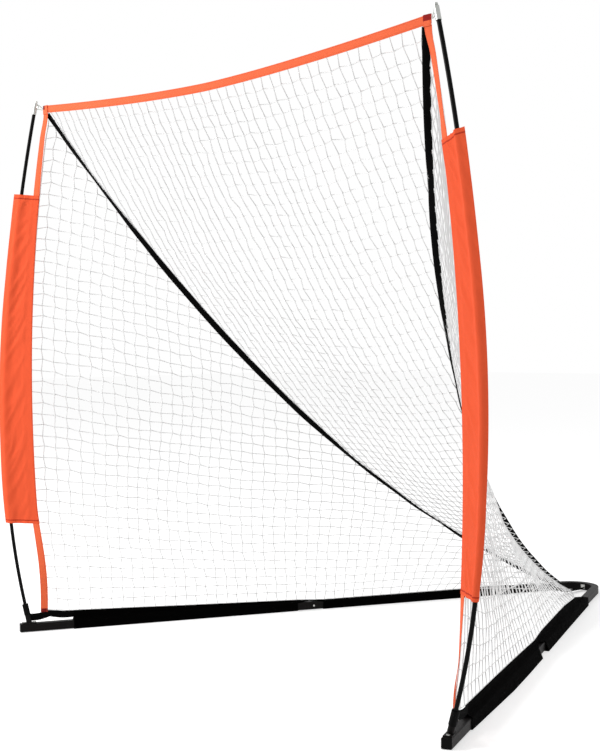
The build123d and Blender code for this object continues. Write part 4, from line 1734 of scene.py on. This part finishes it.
@dataclass
class Hem:
    """The black cloth wrapped round a rail, pinched into a fin where the net is sewn on.

    Attributes:
        side: The goal's side.
        rear: Whether it is the rear length of the two.
        finish: The cloth's material.
        divisions: Divisions of the cloth round the rail and along it.
        cloth: Thickness of the cloth.
        round_tube: How far the cloth stands off the tube.
        neck: Share of the fin's height where its neck is.
        gathered: The outline's stretches whose points gather at their ends.
        fin: Half the fin's thickness at its neck and at its top.
        gap_share: Share of the length, beside the gap between the hems, over which the fin leans into it.
        seam: What the fin leaves of half the gap.
        edge_rise: Height above the floor, and below the fin's top, over which the folds set in.
        fold: Height of the folds.
        wrinkle: Height of the fine wrinkles.
        inner: Share of the folds on the inner side.
    """

    side: Side
    rear: bool
    finish: bpy.types.Material
    divisions: tuple[int, int] = (54, 96)
    cloth: float = 0.0012
    round_tube: float = 0.0017
    neck: float = 0.3
    gathered: tuple[int, ...] = (2, 3, 7)
    fin: tuple[float, float] = (0.0014, 0.0012)
    gap_share: float = 0.07
    seam: float = 0.0005
    edge_rise: tuple[float, float] = (0.010, 0.004)
    fold: float = 0.0022
    wrinkle: float = 0.0008
    inner: float = 0.6

    @property
    def length_name(self) -> str:
        """The word for this length in its names."""
        return "rear" if self.rear else "front"

    @property
    def ends(self) -> tuple[float, float]:
        """Where the hem starts and ends along the rail."""
        return (LINES.hem_gap[1], LINES.hem_end) if self.rear else (LINES.hem_start, LINES.hem_gap[0])

    def outline(self, along: float, fin: float) -> list[Vector]:
        """Corners of the hem's section: distance along the rail, out from it and height.

        Args:
            along: Distance along the rail of the cloth round the tube.
            fin: Distance along the rail of the fin above it.

        Returns:
            The corners, from the inner floor edge round the outside.
        """
        outside, shoulder = LINES.tube / 2 + self.round_tube, LINES.tube_top + self.round_tube
        start, end = self.ends
        stands_out = between(DRAPES[self.side].hem_bulges[self.rear], (along - start) / (end - start))
        bulge = max(LINES.tube / 2 + stands_out / PER_METRE, outside)
        top = hem_top(self.side, fin)
        neck = mix(shoulder, top, self.neck)
        low = [(-outside, 0.0), (bulge, 0.0), ((bulge + outside) / 2, LINES.tube / 2), (outside, shoulder)]
        high = [(self.fin[0], neck), (self.fin[1], top), (-self.fin[1], top), (-self.fin[0], neck)]
        corners = [(along, *corner) for corner in low] + [(fin, *corner) for corner in high]
        return [Vector(corner) for corner in [*corners, (along, -outside, shoulder)]]

    def folds(self, run: float, out: float, height: float) -> float:
        """How far folds and wrinkles move the cloth.

        Args:
            run: Distance along the rail.
            out: Distance out from it.
            height: Height above the floor.

        Returns:
            The distance outwards, which is negative on the inner side.
        """
        low, high = self.edge_rise
        loose = smooth(height / low) * smooth((hem_top(self.side, run) - height) / high)
        fold = noise.noise(Vector((run * 16, height * 26, out * 9 + self.side.value))) * self.fold
        fold += noise.noise(Vector((run * 55 + height * 60, height * 10, 4.0))) * self.wrinkle
        return abs(fold) * loose * (-self.inner if out < 0 else 1)

    def place(self, around: float, along: float) -> Vector:
        """The cloth's point in the frame.

        Args:
            around: Share of the way round the rail.
            along: Share of the hem's length.

        Returns:
            The point.
        """
        gap = (LINES.hem_gap[1] - LINES.hem_gap[0]) / 2 - self.seam
        from_gap = along if self.rear else 1 - along
        lean = gap * smooth(1 - from_gap / self.gap_share) * (-1 if self.rear else 1)
        run = mix(*self.ends, along)
        corners = self.outline(run, run + lean)
        position = (around % 1.0) * len(corners)
        index = int(position) % len(corners)
        share = position - index
        share = smooth(share) if index in self.gathered else share
        run, out, height = mix(corners[index], corners[(index + 1) % len(corners)], share)
        return LINES.rail_point(self.side, run, out + self.folds(run, out, height), height)

    def build(self) -> None:
        """Builds the hem as one grid wrapped round the rail."""
        wrap = blank_grid(f"{self.side.label}_{self.length_name}_hem_cloth", *self.divisions)
        start, end = self.ends
        flat = (self.girth(mix(start, end, 0.5)), end - start)
        wrap_round(wrap, self.place, flat, self.cloth)
        piece = hand_in(wrap, self.finish, "black_cloth", (f"{self.side.label}_{self.length_name}_hem",))

    def girth(self, along: float) -> float:
        """Length of cloth round the hem's section."""
        corners = self.outline(along, along)
        return sum((a - b).length for a, b in zip(corners, corners[1:] + corners[:1]))


# ------------------------------------------------------------------ finishes and stage
BLACK = (0.002, 0.002, 0.002)
BLACK_SCUFF = (0.02, 0.02, 0.02)
FINISHES = {
    "black_tube": Hard("black_powder_coat", (0.006, 0.0052, 0.0052), 0.45, specular=0.06, grain=0.0012,
                       scuffed=0.04, scuff=(0.03, 0.028, 0.027)),
    "zinc_steel": Hard("zinc_plate", (0.55, 0.55, 0.53), 0.34, metallic=1.0, grain=0.002,
                       scuff=(0.3, 0.28, 0.25)),
    "spring_steel": Hard("spring_steel", (0.40, 0.41, 0.42), 0.3, metallic=1.0, scuff=(0.2, 0.2, 0.2)),
    "pole_rod": Hard("black_glass_fibre", BLACK, 0.35, specular=0.06, grain=0.001, stretch=(1.0, 1.0, 0.05),
                     scuffed=0.03, scuff=BLACK_SCUFF),
    "ferrule_metal": Hard("ferrule_aluminium", (0.6, 0.6, 0.6), 0.35, metallic=1.0, scuff=(0.4, 0.4, 0.4)),
    "tip_metal": Hard("turned_aluminium", (0.46, 0.47, 0.45), 0.33, metallic=1.0, grain=0.0008,
                      scuff=(0.25, 0.25, 0.24)),
    "cap_plastic": Hard("moulded_black_plastic", BLACK, 0.5, specular=0.06, grain=0.0008, scuffed=0.03,
                        scuff=BLACK_SCUFF),
    "collar_rubber": Hard("black_rubber", BLACK, 0.62, specular=0.05, grain=0.0010, scuffed=0.03,
                          scuff=BLACK_SCUFF),
    "ring_wire": Hard("grey_green_wire", (0.33, 0.36, 0.31), 0.4, metallic=1.0, scuff=(0.2, 0.2, 0.18)),
}
ORANGE_WEB = Cloth("orange_webbing", (0.98, 0.160, 0.062), 0.0016, Weave.WEBBING, stitches=(0.0035, 0.0215),
                   stitch_colour=(0.75, 0.10, 0.03), bands=((0.0, 0.013),))
BLACK_WEB = Cloth("black_webbing", BLACK, 0.0016, Weave.WEBBING, stitches=(0.003, 0.019),
                  stitch_colour=(0.008, 0.008, 0.008), specular=0.03)
LEFT_PATCH = replace(ORANGE_WEB, name="left_corner_web", stitches=(0.003, 0.024),
                     stitch_colour=(0.5, 0.03, 0.02), bands=((0.016, 0.031),), band_width=0.011)
RIGHT_PATCH = replace(LEFT_PATCH, name="right_corner_web", bands=((0.014, 0.031),), band_width=1.0,
                      band_colour=(0.32, 0.012, 0.010))
ORANGE_CLOTH = Cloth("orange_cloth", (0.95, 0.115, 0.038), 0.0009, Weave.PLAIN, drift=0.10, relief=0.0002,
                     bands=((0.009, 0.013), (1.131, 1.135)), band_colour=(0.60, 0.045, 0.015))
BLACK_CLOTH = Cloth("black_cloth", (0.0010, 0.0009, 0.0009), 0.0010, Weave.PLAIN, relief=0.0002,
                    specular=0.01)
# Each sleeve's flaps, the reach of its bump, its tips and its bends
SLEEVES = {
    Side.LEFT: ((0.021, 0.031), (0.013, 0.018), (0.009, -0.003), (0.0, 0.0)),
    Side.RIGHT: ((0.012, 0.025), (0.0088, 0.013), (0.003, -0.017), (1.1, 0.4)),
}


def dress_frame() -> None:
    """Gives every CAD node that shows its finish, by its material slot."""
    materials = {slot: finish.build() for slot, finish in FINISHES.items()}
    slots = {part["node"]: part["material_slot"] for part in frame["record"]["subparts"]}
    for name, node in frame["nodes"].items():
        finish = materials.get(slots.get(name, ""))
        if finish is None:
            continue
        for slot in node.material_slots:
            slot.material = finish
        if not node.material_slots:
            node.data.materials.append(finish)
        LOG.info("%s dressed in %s", name, finish.name)


@dataclass
class Studio:
    """Floor, light and camera.

    Each lamp is its place, size and power. The glow is what the floor adds for the camera, near the
    goal and far from it, and its reach is where the one ends and the other starts.
    """

    camera_at: tuple[float, float, float] = (3.0758, -3.52932, 1.0047)
    right: tuple[float, float, float] = (0.69307299, 0.72081651, -0.00856651)
    up: tuple[float, float, float] = (-0.0129725, 0.02435313, 0.99961925)
    focal: float = 64.055  # millimetres, as is the sensor's width
    sensor: float = 36
    far: float = 200
    floor_size: float = 60
    floor_colour: Colour = (0.9, 0.9, 0.9)
    sky: float = 0.56
    key: tuple[tuple[float, float, float], float, float] = ((-3.0, -4.4, 3.2), 2.6, 245.0)
    side: tuple[tuple[float, float, float], float, float] = ((5.5, 2.0, 1.2), 2.5, 120.0)
    aim: tuple[float, float, float] = (0, 0, 0.7)
    glow: tuple[float, float] = (0.40, 0.47)
    glow_reach: tuple[float, float] = (1.4, 3.6)

    def build(self) -> None:
        """Builds the stage."""
        self.floor()
        self.world()
        self.lamp("key_light", *self.key)
        self.lamp("side_light", *self.side)
        self.camera()
        bpy.context.scene.view_settings.view_transform = "Standard"

    def floor(self) -> None:
        """A plain pale floor that melts into the background but keeps the shadow."""
        bpy.ops.object.select_all(action="DESELECT")
        bpy.ops.mesh.primitive_plane_add(size=self.floor_size, location=(0, 0, 0))
        floor = bpy.context.object
        floor.name = "studio_floor"
        shader = Surface("pale_floor")
        away = shader.node("VectorMath", {0: shader.space()}, operation="LENGTH").outputs["Value"]
        ramp = dict(enumerate((away, *self.glow_reach, *self.glow)))
        glow = shader.node("MapRange", ramp).outputs[0]
        floor.data.materials.append(shader.finished({
            "Base Color": self.floor_colour,
            "Roughness": 1.0,
            "Specular IOR Level": 0.0,
            "Emission Color": (1, 1, 1),
            "Emission Strength": shader.maths("MULTIPLY", shader.seen(), glow),
        }))

    def world(self) -> None:
        """White behind the goal, a softer white on it."""
        world = bpy.data.worlds.new("studio")
        world.use_nodes = True
        bpy.context.scene.world = world
        shader = Shader(world.node_tree)
        added = shader.maths("MULTIPLY", shader.seen(), 1.0 - self.sky)
        strength = shader.maths("ADD", self.sky, added)
        shader.fill(world.node_tree.nodes["Background"], {"Color": (1, 1, 1), "Strength": strength})

    def lamp(self, name: str, place: tuple[float, float, float], size: float, power: float) -> None:
        """A soft area lamp aimed at the middle of the goal.

        Args:
            name: Its name.
            place: Its place.
            size: Its width.
            power: Its power in watts.
        """
        light = bpy.data.lights.new(name, "AREA")
        light.shape = "DISK"
        light.size = size
        light.energy = power
        lamp = bpy.data.objects.new(name, light)
        lamp.location = place
        lamp.rotation_euler = (Vector(self.aim) - Vector(place)).to_track_quat("-Z", "Y").to_euler()
        bpy.context.scene.collection.objects.link(lamp)

    def camera(self) -> None:
        """The camera, level with the middle of the mouth, to the right of it."""
        data = bpy.data.cameras.new("camera")
        data.lens = self.focal
        data.sensor_width = self.sensor
        data.clip_end = self.far
        camera = bpy.data.objects.new("camera", data)
        right, up = Vector(self.right), Vector(self.up)
        turn = Matrix((right, up, right.cross(up))).transposed().to_4x4()
        camera.matrix_world = Matrix.Translation(self.camera_at) @ turn
        bpy.context.scene.collection.objects.link(camera)
        bpy.context.scene.camera = camera


def main() -> None:
    """Builds the goal's looks in order."""
    logging.basicConfig(level=logging.INFO, format="%(message)s")
    noise.seed_set(NOISE_SEED)
    dress_frame()
    twine = Twine().build()
    BackNet(twine).build()
    for side in Side:
        SideNet(twine, side=side).build()
        Lacing(RIDGES[side], twine).build()
    corners = {Side.LEFT: LEFT_PATCH.build(), Side.RIGHT: RIGHT_PATCH.build()}
    Straps(ORANGE_WEB.build(), BLACK_WEB.build(), corners).build()
    orange, black = ORANGE_CLOTH.build(), BLACK_CLOTH.build()
    for side in Side:
        Sleeve(side, orange, *SLEEVES[side]).build()
        for rear in (False, True):
            Hem(side, rear, black).build()
    Studio().build()


if __name__ == "__main__":
    main()
